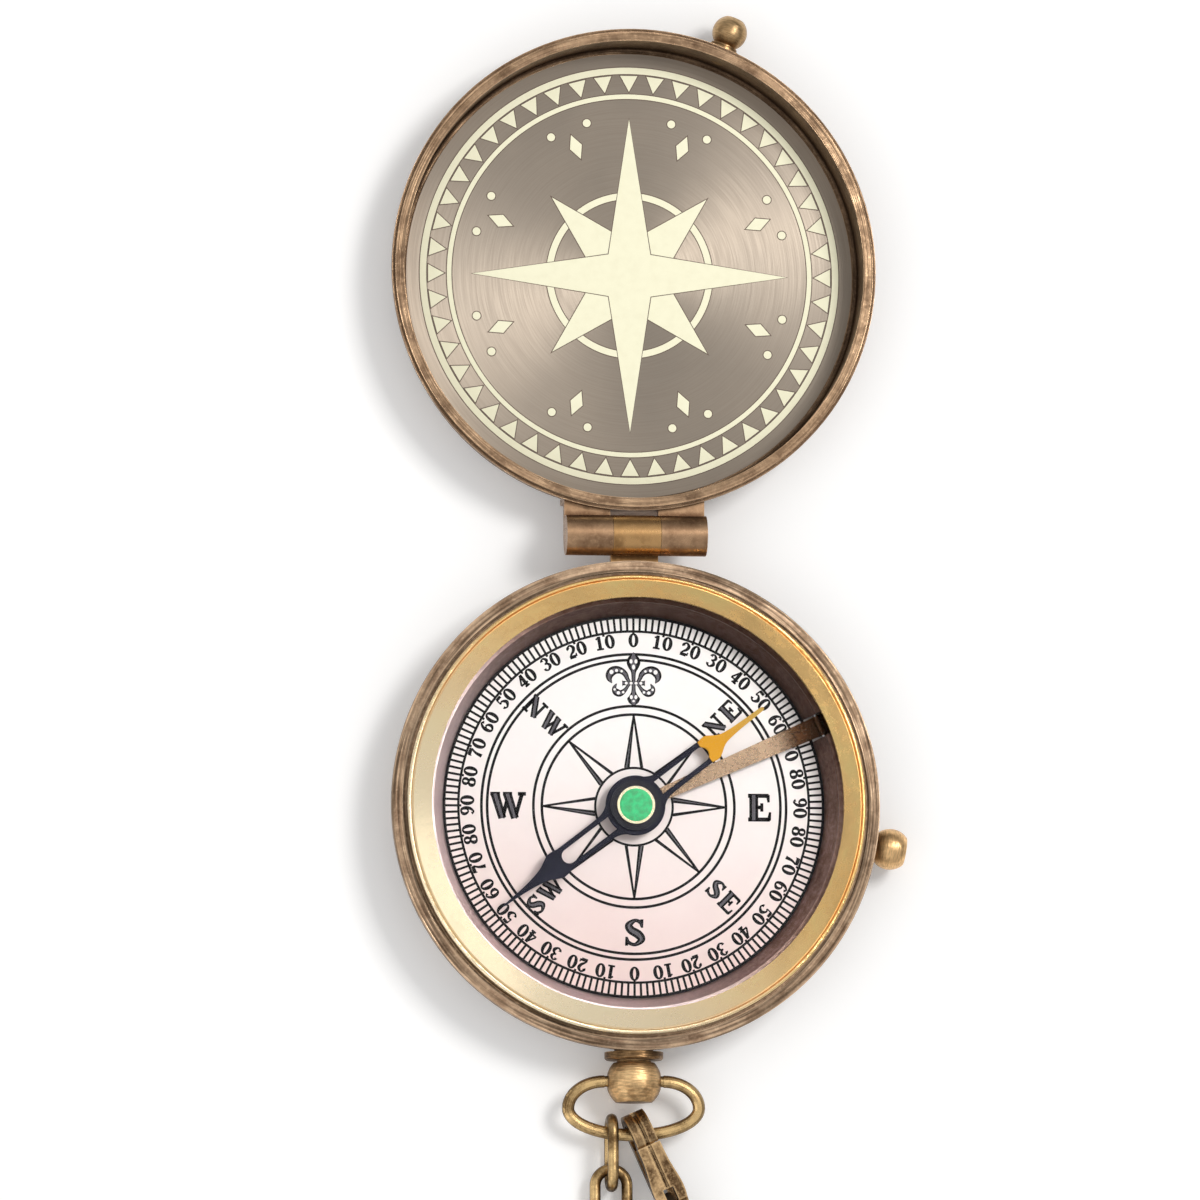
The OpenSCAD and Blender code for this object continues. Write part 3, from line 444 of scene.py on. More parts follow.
def stroke(points, steps=7):
    """A pen stroke: a Catmull-Rom curve through x, y, width rows, given back as its left and
    right edges, half a width to each side along the curve's normal."""
    p = np.asarray(points, float)
    if len(p) == 2:
        q = p
    else:
        ends = np.vstack([2 * p[0] - p[1], p, 2 * p[-1] - p[-2]])
        t = np.linspace(0, 1, steps, endpoint=False)[:, None]
        a, b, c, d = (ends[i:len(ends) - 3 + i][:, None, :] for i in range(4))
        q = 0.5 * (2 * b + (c - a) * t + (2 * a - 5 * b + 4 * c - d) * t ** 2
                   + (3 * b - a - 3 * c + d) * t ** 3)
        q = np.vstack([q.reshape(-1, 3), p[-1:]])
    way = np.gradient(q[:, :2], axis=0)
    way /= np.maximum(np.linalg.norm(way, axis=1), 1e-9)[:, None]
    side = np.column_stack([-way[:, 1], way[:, 0]]) * q[:, 2:3] / 2
    return q[:, :2] + side, q[:, :2] - side


def loop_stroke(cx, cy, a, b, thin, thick):
    """The bowl of a figure: an ellipse that is thick at its sides and thin above and below."""
    t = np.linspace(0, 2 * np.pi, 25)
    w = thin + (thick - thin) * np.abs(np.cos(t)) ** 1.5
    return np.column_stack([cx + a * np.cos(t), cy + b * np.sin(t), w])


# Each figure and letter is a list of pen strokes in a box one high: rows are x, y, width.
GLYPHS = {
    "0": [loop_stroke(.33, .5, .24, .455, .09, .17)],
    "1": [[(.34, 1, .16), (.34, 0, .16)], [(.34, .93, .10), (.10, .80, .08)],
          [(.08, .045, .09), (.60, .045, .09)]],
    "2": [[(.15, .69, .17), (.10, .80, .12), (.32, .955, .09), (.53, .74, .16), (.44, .48, .14),
           (.24, .30, .10), (.09, .10, .09)], [(.06, .08, .16), (.52, .08, .16)],
          [(.56, .05, .10), (.61, .30, .06)]],
    "3": [[(.14, .77, .17), (.16, .88, .10), (.34, .955, .09), (.52, .76, .15), (.42, .58, .10),
           (.26, .53, .07)], [(.26, .53, .07), (.46, .48, .10), (.56, .27, .16), (.34, .045, .09),
                              (.14, .12, .10), (.11, .24, .16)]],
    "4": [[(.45, 1, .16), (.45, 0, .16)], [(.43, .96, .09), (.07, .31, .09)],
          [(.03, .28, .09), (.66, .28, .09)], [(.26, .045, .09), (.64, .045, .09)]],
    "5": [[(.14, .93, .14), (.56, .93, .14)], [(.16, .96, .07), (.13, .52, .07)],
          [(.13, .52, .07), (.34, .60, .09), (.57, .32, .17), (.34, .045, .09), (.13, .12, .10),
           (.10, .22, .16)]],
    "6": [[(.51, .82, .16), (.46, .92, .09), (.34, .955, .09), (.16, .72, .14), (.12, .42, .17),
           (.18, .14, .13), (.34, .045, .09), (.54, .20, .15), (.53, .42, .13), (.36, .58, .08),
           (.18, .46, .08)]],
    "7": [[(.07, .91, .17), (.60, .91, .17)], [(.08, .99, .05), (.07, .72, .05)],
          [(.58, .86, .08), (.38, .5, .12), (.30, .0, .18)]],
    "8": [loop_stroke(.33, .745, .19, .21, .08, .14), loop_stroke(.33, .27, .225, .225, .08, .17)],
    "N": [[(.18, .96, .09), (.18, .03, .09)], [(.15, .96, .20), (.76, .04, .20)],
          [(.76, .97, .09), (.76, .03, .09)], [(0, .955, .09), (.30, .955, .09)],
          [(.02, .045, .09), (.36, .045, .09)], [(.58, .955, .09), (.94, .955, .09)]],
    "E": [[(.24, .98, .20), (.24, .02, .20)], [(.04, .95, .10), (.76, .95, .10)],
          [(.04, .05, .10), (.80, .05, .10)], [(.24, .51, .09), (.52, .51, .09)],
          [(.73, .98, .09), (.76, .70, .05)], [(.77, .02, .09), (.81, .33, .05)],
          [(.52, .67, .07), (.52, .35, .07)]],
    "S": [[(.62, .72, .06), (.57, .88, .09), (.38, .955, .09), (.17, .78, .17), (.25, .59, .20),
           (.49, .43, .21), (.60, .23, .17), (.38, .045, .09), (.15, .13, .09), (.09, .31, .06)],
          [(.625, 1, .07), (.625, .68, .05)], [(.085, .0, .07), (.085, .34, .05)]],
    "W": [[(.14, .96, .20), (.40, .03, .18)], [(.40, .03, .09), (.62, .93, .09)],
          [(.57, .96, .20), (.84, .03, .18)], [(.84, .03, .09), (1.08, .95, .09)],
          [(-.02, .955, .09), (.32, .955, .09)], [(.42, .955, .09), (.74, .955, .09)],
          [(.94, .955, .09), (1.22, .955, .09)]],
}
GLYPHS["9"] = [np.asarray(s, float) * (-1, -1, 1) + (.66, 1, 0) for s in GLYPHS["6"]]
ADVANCE = {"1": .66, "N": .96, "E": .86, "S": .72, "W": 1.22}


def word(letters, height, centre, turn, low, high, squeeze=1.0, gap=0.06, weight=1.0, inset=0.0):
    """Letters set side by side, centred on a place in mm and turned about it by degrees. With
    an inset, each pen stroke is narrower by it, and the thin strokes are left out."""
    widths = [ADVANCE.get(c, .66) for c in letters]
    x = -(sum(widths) + gap * (len(letters) - 1)) / 2
    c, s = math.cos(math.radians(turn)), math.sin(math.radians(turn))
    spin = np.array([[c, s], [-s, c]]) * height
    bands = []
    for letter, width in zip(letters, widths):
        for rows in GLYPHS[letter]:
            rows = np.asarray(rows, float) * (1, 1, weight) - (0, 0, inset)
            if inset and rows[:, 2].max() < 0.1:
                continue
            rows[:, 2] = np.maximum(rows[:, 2], 0.01)
            closed = np.allclose(rows[0], rows[-1])
            edges = stroke(rows)
            edges = [((e + (x, -.5)) * (squeeze, 1)) @ spin + centre for e in edges]
            if closed:
                edges = [e[:-1] for e in edges]
            bands.append(ribbon(*edges, low, high, closed))
        x += width + gap
    return bands


def bearing(degrees):
    """The direction of a compass bearing, and the direction to its right."""
    turn = math.radians(degrees)
    return (np.array([math.sin(turn), math.cos(turn)]),
            np.array([math.cos(turn), -math.sin(turn)]))


def spoke(degrees, inner, outer, low, high):
    """A straight mark along a radius."""
    way, side = bearing(degrees)
    ends = np.array([inner * way, outer * way])
    return ribbon(ends - side * MARK_W / 2, ends + side * MARK_W / 2, low, high)


# Heights of the ink, of the degree marks that cross the rings, and of the tint on the ink.
DIAL_TOP = 5.0
low, high = DIAL_TOP + 0.002, DIAL_TOP + 0.02
marks_low, marks_high = low + 0.003, high + 0.003
tint_low, tint_high = low + 0.002, high + 0.004
RINGS = ((28.96, 29.46), (26.79, 27.17), (23.24, 23.66), (22.36, 22.78), (15.26, 15.68),
         (13.96, 14.38), (5.78, 6.14))
MARK_W = 0.36
FIGURE_R, FIGURE_H = 25.62, 2.08
LETTER_R, LETTER_H, PAIR_H, LETTER_WIDEN, TINT_INSET = 19.3, 4.05, 2.9, 1.09, 0.19
PEN_GAP, PEN_WEIGHT = 0.12, 1.55
ink = mottled("dial ink", (0.006, 0.005, 0.006), (0.022, 0.019, 0.021), 1500.0, 4.0, (0.45, 0.75),
              Roughness=0.6, Specular_IOR_Level=0.15)
bands = [hoop(np.zeros(2), inner, outer, low, high) for inner, outer in RINGS]
print_on("dial_rings", bands, ink, "case")
bands = [spoke(a, 27.0, 29.3, marks_low, marks_high) for a in range(0, 360, 2)]
bands += [spoke(a, 26.52, 27.1, marks_low, marks_high) for a in range(0, 360, 10)]
print_on("dial_degree_marks", bands, ink, "case")
bands = []
for a in range(0, 360, 10):
    bands += word(str(min(a % 180, 180 - a % 180)), FIGURE_H, FIGURE_R * bearing(a)[0], -a,
                  low, high, 1.0, PEN_GAP, PEN_WEIGHT)
print_on("dial_figures", bands, ink, "case")

tint = bpy.data.materials.new("letter tint")
tree, shader = nodes_of(tint)
vector = place_vector(tree)
hatch = tree.nodes.new("ShaderNodeTexWave")
hatch.inputs["Scale"].default_value = 1500.0
hatch.inputs["Distortion"].default_value = 1.5
wire(tree, vector, hatch.inputs["Vector"])
wire(tree, mix_colours(tree, hatch.outputs["Fac"], (0.022, 0.020, 0.028, 1),
                       (0.13, 0.115, 0.135, 1)), shader.inputs["Base Color"])
shader.inputs["Roughness"].default_value = 0.5
bands, fills = [], []
for letters, a, height, turn in (("E", 90, LETTER_H, 0), ("S", 180, LETTER_H, 0),
                                 ("W", 270, LETTER_H, 0), ("NE", 45, PAIR_H, 45),
                                 ("SE", 135, PAIR_H, -45), ("SW", 225, PAIR_H, 45),
                                 ("NW", 315, PAIR_H, -45)):
    at = LETTER_R * bearing(a)[0]
    pen = (LETTER_WIDEN, PEN_GAP, PEN_WEIGHT)
    bands += word(letters, height, at, turn, low, high, *pen)
    fills += word(letters, height, at, turn, tint_low, tint_high, *pen, TINT_INSET)
print_on("dial_letters", bands, ink, "case")
print_on("dial_letter_tint", fills, tint, "case")

# Each of the rose's eight points has a thick flank and a thin one, given as the place of its foot
# beside the radius and its width there, and a line of tint on the thick one.
ROSE_TIP, ROSE_ROOT, TIP_W, FLANKS = 14.1, 6.0, 0.30, ((-1.08, 0.88), (1.22, 0.50))
bands, fills = [], []
for a in range(0, 360, 45):
    way, side = bearing(a)
    tip, root = ROSE_TIP * way, ROSE_ROOT * way
    point = side * TIP_W / 2
    for flank, width in FLANKS:
        foot = root + side * flank
        edge = side * width / 2
        bands.append(ribbon([foot - edge, tip - point], [foot + edge, tip + point], low, high))
    foot = root - side * 1.12
    end = 0.35 * foot + 0.65 * tip
    fills.append(ribbon([foot - 0.12 * side, end - 0.02 * side],
                        [foot + 0.12 * side, end + 0.02 * side], tint_low, tint_high))
print_on("dial_rose", bands, ink, "case")
print_on("dial_rose_tint", fills, tint, "case")


def printed_shape(outline, low, high):
    """A flat shape from a closed outline in mm: the outline at two heights, joined by a wall,
    and each closed by one flat face."""
    outline = np.asarray(outline, float)
    count = len(outline)
    points = np.vstack([np.column_stack([outline, np.full(count, z)]) for z in (low, high)])
    i = np.arange(count)
    faces = np.stack([i, (i + 1) % count, (i + 1) % count + count, i + count], -1).tolist()
    return points, faces + [i[::-1].tolist(), (i + count).tolist()]


def bead(x, y, wide, tall, low, high):
    """A printed oval: a circle of 16 points stretched to a half width and a half height."""
    t = np.linspace(0, 2 * np.pi, 16, endpoint=False)
    return printed_shape(np.column_stack([x + wide * np.cos(t), y + tall * np.sin(t)]), low, high)


# The lily is drawn in shares of its size about the middle of its band, as pen strokes whose rows
# are x, y, width, with beads of bare silver on them: x, y, half width, half height.
LILY_AT, LILY_SIZE = 19.0, 6.8
middle_strokes = [
    [(0, .70, .01), (0, .66, .09), (0, .60, .22), (0, .53, .29), (0, .46, .31), (0, .38, .26),
     (0, .31, .18), (0, .24, .11), (0, .10, .09), (0, 0, .09)],
    [(0, 0, .09), (0, -.12, .09), (0, -.20, .11), (0, -.28, .19), (0, -.345, .29), (0, -.40, .26),
     (0, -.45, .20), (0, -.49, .08)],
    [(-.255, 0, .17), (-.215, 0, .10), (.215, 0, .10), (.255, 0, .17)]]
side_strokes = [
    [(.09, .03, .07), (.14, .10, .09), (.185, .20, .12), (.27, .275, .145), (.385, .30, .18),
     (.485, .265, .20), (.545, .18, .18), (.545, .09, .12), (.49, .0, .02)],
    [(.09, -.02, .06), (.14, -.08, .07), (.19, -.15, .09), (.265, -.215, .13), (.335, -.23, .16),
     (.405, -.19, .16), (.435, -.11, .10), (.385, -.01, .02)]]
middle_beads = [(0, .365, .034, .056), (0, -.405, .030, .026)]
side_beads = [(.056, .495, .034, .05), (.052, -.315, .034, .045), (.057, 0, .034, .034),
              (.165, 0, .034, .034), (.50, .25, .046, .05), (.385, .285, .034, .034),
              (.27, .27, .028, .028), (.235, -.205, .028, .028), (.345, -.22, .038, .038),
              (.43, -.145, .027, .027)]
lily_centre = np.array([0, LILY_AT])
strokes = list(middle_strokes)
beads = list(middle_beads)
for side in (-1, 1):
    strokes += [np.asarray(rows, float) * (side, 1, 1) for rows in side_strokes]
    beads += [(side * x, y, wide, tall) for x, y, wide, tall in side_beads]
bands = [ribbon(*[edge * LILY_SIZE + lily_centre for edge in stroke(rows)], low, high)
         for rows in strokes]
fills = [ribbon(*[edge * LILY_SIZE + lily_centre
                  for edge in stroke(np.asarray(rows, float) * (1, 1, 0.45))],
                tint_low, tint_high) for rows in strokes]
dots = [bead(*np.multiply(row, LILY_SIZE) + (0, LILY_AT, 0, 0), low + 0.004, high + 0.008)
        for row in beads]
print_on("dial_lily", bands, ink, "case")
print_on("dial_lily_tint", fills, tint, "case")
print_on("dial_lily_beads", dots, silvered, "case")

# --- Spacer ring ---------------------------------------------------------------------------
# A sloping bronze ring stands on the dial and carries the glass. It is toned purple brown, with
# a painted reflection of the dial making it pale at the lower left and painted shade making it dark
# at the upper right, and has a gap where the lever's pin crosses it.
def lay_over(material, colour, mask, strength):
    """Mixes a colour over a material's own, where a mask in its node tree is 1."""
    tree, shader = nodes_of(material)
    own = shader.inputs["Base Color"].links[0].from_socket
    wire(tree, mix_colours(tree, math_node(tree, "MULTIPLY", mask, strength), own, (*colour, 1)),
         shader.inputs["Base Color"])


def along(material, direction, low, high):
    """A mask that goes from 0 to 1 along a direction, between two places in mm."""
    tree = material.node_tree
    way = tree.nodes.new("ShaderNodeVectorMath")
    way.operation = "DOT_PRODUCT"
    way.inputs[1].default_value = direction
    wire(tree, place_vector(tree), way.inputs[0])
    return fade(tree, way.outputs["Value"], low * MM, high * MM)


spacer = brass("spacer bronze", (0.50, 0.33, 0.28), (0.17, 0.09, 0.065), 0.5, 0.6, 0.3,
               centre=(0, 0, 0), lines=4200.0, turned=0.3, polish=-0.05, patches=0.8)
# Painted reflection: pale pink toward the lower left, where the wall would mirror the dial.
lay_over(spacer, (0.95, 0.80, 0.80), along(spacer, (-0.80, -0.60, 0), -8.0, 26.0), 0.85)
# Painted shade: near black toward the upper right, where the bezel shades the wall.
lay_over(spacer, (0.07, 0.032, 0.020), along(spacer, (0.40, 0.917, 0), 4.0, 29.0), 0.8)
dress(spacer, "spacer_ring")

# --- Bezel and glass -----------------------------------------------------------------------
# The bezel is a turned ring of clean golden brass with a rolled bead, pressed into the case
# over a flat glass. Its colour is painted paler toward the lower left, a painted sheen of the light
# from that side.
bezel = brass("bezel brass", (1.0, 0.66, 0.27), (0.88, 0.48, 0.145), 0.24, 1.0, 0.5,
              centre=(0, 0, 0), lines=6500.0, turned=0.26, patches=0.9)
# Painted sheen: the brass is mixed to a pale cream toward the lower left.
lay_over(bezel, (1.0, 0.87, 0.63), along(bezel, (-0.74, -0.67, 0), -10.0, 28.0), 0.85)
dress(bezel, "bezel_ring")
pane = bpy.data.materials.new("glass")
tree, shader = nodes_of(pane)
shader.inputs["Base Color"].default_value = (1, 1, 1, 1)
shader.inputs["Transmission Weight"].default_value = 1.0
shader.inputs["Roughness"].default_value = 0.0
shader.inputs["IOR"].default_value = 1.12
lamplight = tree.nodes.new("ShaderNodeLightPath")
wire(tree, math_node(tree, "SUBTRACT", 1.0, lamplight.outputs["Is Shadow Ray"]),
     shader.inputs["Alpha"])
dress(pane, "crystal")

# --- Hinge ---------------------------------------------------------------------------------
# Three knuckles on one pin: the outer two belong to the lid, the middle one to the case, and
# each leaf is riveted to its wall.
hinge = brass("hinge brass", (0.53, 0.33, 0.19), (0.12, 0.062, 0.033), 0.46, 1.1, 1.0, edge=0.25,
              patches=1.2)
dress(hinge, "lid_hinge_leaf", "case_hinge_rivets", "lid_hinge_rivets")
middle_leaf = brass("middle leaf brass", (0.58, 0.34, 0.145), (0.20, 0.105, 0.042), 0.38, 1.1, 0.9)
dress(middle_leaf, "case_hinge_leaf", "hinge_pin")

# --- Lid -----------------------------------------------------------------------------------
# The lid is a shallow turned cup with a plate of circular brushed bronze laid in its floor. The
# plate is printed in cream with a dark outline: stars, lozenges, dots, rings and a toothed border.
LID_CENTRE = (0, 82.7, 0)
LID_PLATE_TOP = 2.52
lid_shell = brass("lid brass", (0.44, 0.295, 0.18), (0.085, 0.048, 0.028), 0.55, 1.2, 1.0,
                  centre=LID_CENTRE, lines=4200.0, turned=0.55, edge=0.25, patches=1.0)
dress(lid_shell, "lid_shell")
plate = bpy.data.materials.new("brushed bronze")
tree, shader = nodes_of(plate)
vector = place_vector(tree, LID_CENTRE)
marks = place_group(tree, turning, Vector=vector, Lines=7000.0).outputs["Value"]
cloud = noise(tree, vector, 45.0, 3.0)
bronze = mix_colours(tree, fade(tree, cloud, 0.3, 0.7), (0.385, 0.325, 0.262, 1),
                     (0.325, 0.278, 0.228, 1))
bronze = mix_colours(tree, math_node(tree, "MULTIPLY", marks, 0.20), bronze, (0.25, 0.20, 0.16, 1))
wire(tree, bronze, shader.inputs["Base Color"])
shader.inputs["Metallic"].default_value = 0.9
shader.inputs["Anisotropic"].default_value = 0.8
shader.inputs["Anisotropic Rotation"].default_value = 0.25
wire(tree, math_node(tree, "ADD", 0.39, math_node(tree, "MULTIPLY", marks, 0.09)),
     shader.inputs["Roughness"])
tangent = tree.nodes.new("ShaderNodeTangent")
tangent.direction_type = "RADIAL"
tangent.axis = "Z"
wire(tree, tangent.outputs["Tangent"], shader.inputs["Tangent"])
relief = tree.nodes.new("ShaderNodeBump")
relief.inputs["Strength"].default_value = 0.25
relief.inputs["Distance"].default_value = 0.01 * MM
wire(tree, marks, relief.inputs["Height"])
wire(tree, relief.outputs["Normal"], shader.inputs["Normal"])
dress(plate, "lid_plate")

cream = mottled("cream print", (0.97, 0.94, 0.69), (0.93, 0.895, 0.65), 700.0, 4.0, (0.35, 0.8),
                Roughness=0.5)
outline_brown = mottled("dark outline", (0.16, 0.105, 0.07), (0.10, 0.065, 0.045), 900.0,
                        Roughness=0.5)


def grown(outline, margin):
    """An outline moved outwards by a margin: each corner goes along the sum of its two edges'
    normals, far enough that both edges move by the margin, but at most 2.5 times that."""
    p = np.asarray(outline, float)
    edge = np.roll(p, -1, 0) - p
    area = (p[:, 0] * np.roll(p[:, 1], -1) - np.roll(p[:, 0], -1) * p[:, 1]).sum()
    normal = np.column_stack([edge[:, 1], -edge[:, 0]]) * np.sign(area)
    normal /= np.linalg.norm(normal, axis=1)[:, None]
    both = normal + np.roll(normal, 1, 0)
    reach = margin * 2 / np.maximum((both ** 2).sum(1), 0.32)
    return p + both * reach[:, None]


def swung(x, y, degrees):
    """Places given to the right and outwards, swung to a compass bearing about the origin."""
    a = np.radians(degrees)
    x, y = np.asarray(x, float), np.asarray(y, float)
    return np.stack([x * np.cos(a) + y * np.sin(a), y * np.cos(a) - x * np.sin(a)], -1)


def star(points, outer, inner, start=0.0):
    """The outline of a star: its radius goes back and forth between two values."""
    a = np.arange(2 * points) * np.pi / points + np.radians(start)
    r = np.where(np.arange(2 * points) % 2 == 0, outer, inner)
    return np.column_stack([r * np.sin(a), r * np.cos(a)])


# Each shape has its outline and its layer: the great star lies over the small one, and that
# over the rings and all the rest. A dark outline shows round every shape and ring.
OUTLINE_W, LAYER_STEP = 0.14, 0.008
LID_RINGS = ((31.5, 32.5), (27.6, 28.3), (11.9, 12.9))
lid_middle = np.array(LID_CENTRE[:2])
shapes = [(star(4, 24.4, 4.6), 2), (star(4, 17.0, 5.2, 45), 1)]
for a in range(0, 360, 45):
    shapes.append((swung([-1.0, 0, 1.0, 0], [21.6, 23.6, 21.6, 19.6], a + 22.5), 0))
    for beside in (15.5, 29.5):
        shapes.append((star(24, 0.62, 0.61) + swung(0, 24.6, a + beside), 0))
for a in np.arange(0, 360, 7.5):
    shapes.append((swung([-1.35, 1.35, 0], [31.2, 31.2, 28.7], a), 0))
bands, edges = [], []
for outline, layer in shapes:
    low = LID_PLATE_TOP + 0.002 + LAYER_STEP * layer
    edges.append(printed_shape(grown(outline, OUTLINE_W) + lid_middle, low, low + 0.012))
    bands.append(printed_shape(outline + lid_middle, low + 0.001, low + 0.018))
for inner, outer in LID_RINGS:
    low = LID_PLATE_TOP + 0.001
    edges.append(hoop(lid_middle, inner - OUTLINE_W, outer + OUTLINE_W, low, low + 0.010))
    bands.append(hoop(lid_middle, inner, outer, low + 0.001, low + 0.016))
print_on("lid_print_edge", edges, outline_brown, "lid")
print_on("lid_print", bands, cream, "lid")

# --- Knobs ---------------------------------------------------------------------------------
# Small turned knobs: one on the lid's front to open it, one on the case's side that slides to
# lift the needle. Both are polished brass with a little wear.
for name, at, turn, bright in (
        ("lid_knob", (15.3, 120.3, 5.5), (0, 90, 67.8), (0.50, 0.335, 0.17)),
        ("lock_knob", (39.6, -6.1, 4.9), (0, 90, -8.8), (0.84, 0.54, 0.26))):
    knob = brass(name.replace("_", " ") + " brass", bright, (0.26, 0.145, 0.06), 0.34, 1.0,
                 0.6, centre=at, turn=turn, lines=4000.0, turned=0.5, polish=-0.06)
    dress(knob, name)
collar = brass("collar brass", (0.44, 0.265, 0.125), (0.10, 0.055, 0.025), 0.5, 1.1, 0.9)
dress(collar, "lid_knob_collar", "lock_collar")

# --- Needle lock ---------------------------------------------------------------------------
# Satin brass pieces inside the case: the slider round the wall, the lever across the dial,
# darkened at its outer end with a painted shadow of the bezel, and the collar that it lifts. The
# pins and springs are steel.
lever = brass("lever brass", (0.385, 0.27, 0.18), (0.25, 0.165, 0.10), 0.32, 0.9, 0.3, bump=0.008,
              patches=0.5)
dress(lever, "lift_collar", "lock_slider", "pivot_foot")
# The painted shadow of the bezel sets in between two distances in metres from the needle's
# axis, with a ragged edge.
SHADOW_FROM, SHADOW_TO = 0.0245, 0.0300
shadowed = lever.copy()
shadowed.name = "stained lever brass"
tree = shadowed.node_tree
reach = tree.nodes.new("ShaderNodeVectorMath")
reach.operation = "LENGTH"
vector = place_vector(tree)
wire(tree, vector, reach.inputs[0])
end_shadow = fade(tree, math_node(tree, "ADD", reach.outputs["Value"],
                             math_node(tree, "MULTIPLY", noise(tree, vector, 400.0), 0.003)),
             SHADOW_FROM, SHADOW_TO)
# Painted shadow: the lever's outer end is darkened nearly to black brown.
lay_over(shadowed, (0.040, 0.014, 0.004), end_shadow, 0.95)
dress(shadowed, "lifter_lever")
steel = mottled("polished steel", (0.55, 0.56, 0.58), (0.42, 0.43, 0.45), 900.0, Metallic=1.0,
                Roughness=0.25)
dress(steel, "pivot_pin", "lever_pin", "gate_spring")

# --- Needle --------------------------------------------------------------------------------
# A slotted steel blade with ground edges, blued nearly black, with its north head enamelled
# yellow. It hangs on a jewel under a black hub with a pale ring and a domed green enamel spot.
NEEDLE_TURN = 37.5
# Places along the blade in metres: where the enamel starts, and between which it goes pale.
ENAMEL_FROM, ENAMEL_FULL = 0.0137, 0.0139
PALE_FROM, PALE_TO = 0.016, 0.0245
blade = bpy.data.materials.new("blued blade")
tree, shader = nodes_of(blade)
vector = place_vector(tree, (0, 0, 0), (0, 0, NEEDLE_TURN))
split = tree.nodes.new("ShaderNodeSeparateXYZ")
wire(tree, vector, split.inputs[0])
patch = noise(tree, vector, 500.0, 3.0)
north = fade(tree, math_node(tree, "ADD", split.outputs[0],
                             math_node(tree, "MULTIPLY", patch, 0.0006)),
             ENAMEL_FROM, ENAMEL_FULL)
paleness = fade(tree, split.outputs[0], PALE_FROM, PALE_TO)
yellow = mix_colours(tree, paleness, (0.66, 0.31, 0.012, 1), (0.52, 0.32, 0.06, 1))
blue_black = mix_colours(tree, patch, (0.005, 0.005, 0.012, 1), (0.016, 0.017, 0.034, 1))
wire(tree, mix_colours(tree, north, blue_black, yellow), shader.inputs["Base Color"])
shader.inputs["Roughness"].default_value = 0.4
shader.inputs["Specular IOR Level"].default_value = 0.16

# Both outlines start at the rim of the ring round the hub. Their rows are the way along the
# blade and its half width there.
BLADE_LOW, BLADE_TOP = [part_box("needle_blade")[i][2] / MM for i in (0, 1)]
SLOT_HALF, SLOT_END, BLADE_BEVEL = 1.15, 14.0, 0.13
RING_INNER, RING_SHOULDER, RING_OUTER = 2.46, 4.44, 4.6
NORTH_EDGE = [(3.72, 2.74), (4.2, 2.42), (4.8, 2.16), (5.6, 2.0), (7.0, 1.94), (11.0, 1.92),
              (13.4, 1.92), (14.3, 2.06), (15.0, 2.0), (15.7, 1.62), (16.5, 1.08), (17.4, .74),
              (19.0, .54), (21.0, .43), (23.2, .36), (24.6, .30), (24.95, .12)]
SOUTH_EDGE = [(3.72, 2.74), (4.2, 2.42), (4.8, 2.16), (5.6, 2.0), (7.0, 1.94), (11.0, 1.92),
              (13.6, 1.94), (14.7, 2.12), (15.6, 2.1), (16.5, 1.66), (17.5, 1.18), (18.8, .82),
              (20.4, .55), (22.4, .34), (24.4, .20), (25.85, .07)]


def blade_half(edge_rows, way):
    """Half of the blade as one band between its outline and its slot. The outline runs along one
    rail, round the tip and back; the slot's edge keeps pace with it and rounds its own end while
    the outline rounds the head. Each section has a flat bottom and two bevelled top edges."""
    out_left = stroke([(u, w, 0) for u, w in edge_rows], 6)[0]
    out_right = out_left[::-1] * (1, -1)
    outer = np.concatenate([out_left, out_right])
    turn_at = SLOT_END - SLOT_HALF
    on_head = outer[:, 0] >= turn_at
    step = np.r_[0, np.linalg.norm(np.diff(outer, axis=0), axis=1)]
    gone = np.cumsum(np.where(on_head, step, 0))
    angle = np.pi / 2 - np.pi * gone / gone[-1]
    inner = np.where(on_head[:, None],
                     np.column_stack([turn_at + SLOT_HALF * np.cos(angle),
                                      SLOT_HALF * np.sin(angle)]),
                     np.column_stack([outer[:, 0], np.sign(outer[:, 1]) * SLOT_HALF]))
    across = outer - inner
    across *= BLADE_BEVEL / np.linalg.norm(across, axis=1)[:, None]
    high, mid = BLADE_TOP, BLADE_TOP - BLADE_BEVEL
    rows = [(inner, BLADE_LOW), (inner, mid), (inner + across, high), (outer - across, high),
            (outer, mid), (outer, BLADE_LOW)]
    count, sides = len(outer), len(rows)
    points = np.stack([np.column_stack([xy * way, np.full(count, z)]) for xy, z in rows], 1)
    i, k = np.arange(count - 1)[:, None], np.arange(sides)
    faces = np.stack([i * sides + k, i * sides + (k + 1) % sides, (i + 1) * sides + (k + 1) % sides,
                      (i + 1) * sides + k], -1).reshape(-1, 4).tolist()
    faces += [list(range(sides))[::-1], [(count - 1) * sides + j for j in range(sides)]]
    return points.reshape(-1, 3), faces


def turned_ring(profile):
    """A closed section in radius and height, turned once round the upright axis in 96 steps."""
    profile, steps = np.asarray(profile, float), 96
    a = np.linspace(0, 2 * np.pi, steps, endpoint=False)[:, None]
    points = np.stack([profile[:, 0] * np.cos(a), profile[:, 0] * np.sin(a),
                       profile[:, 1] + 0 * a], -1).reshape(-1, 3)
    sides = len(profile)
    i, k = np.arange(steps)[:, None], np.arange(sides)
    faces = np.stack([i * sides + k, i * sides + (k + 1) % sides,
                      (i + 1) % steps * sides + (k + 1) % sides, (i + 1) % steps * sides + k], -1)
    return points, faces.reshape(-1, 4).tolist()


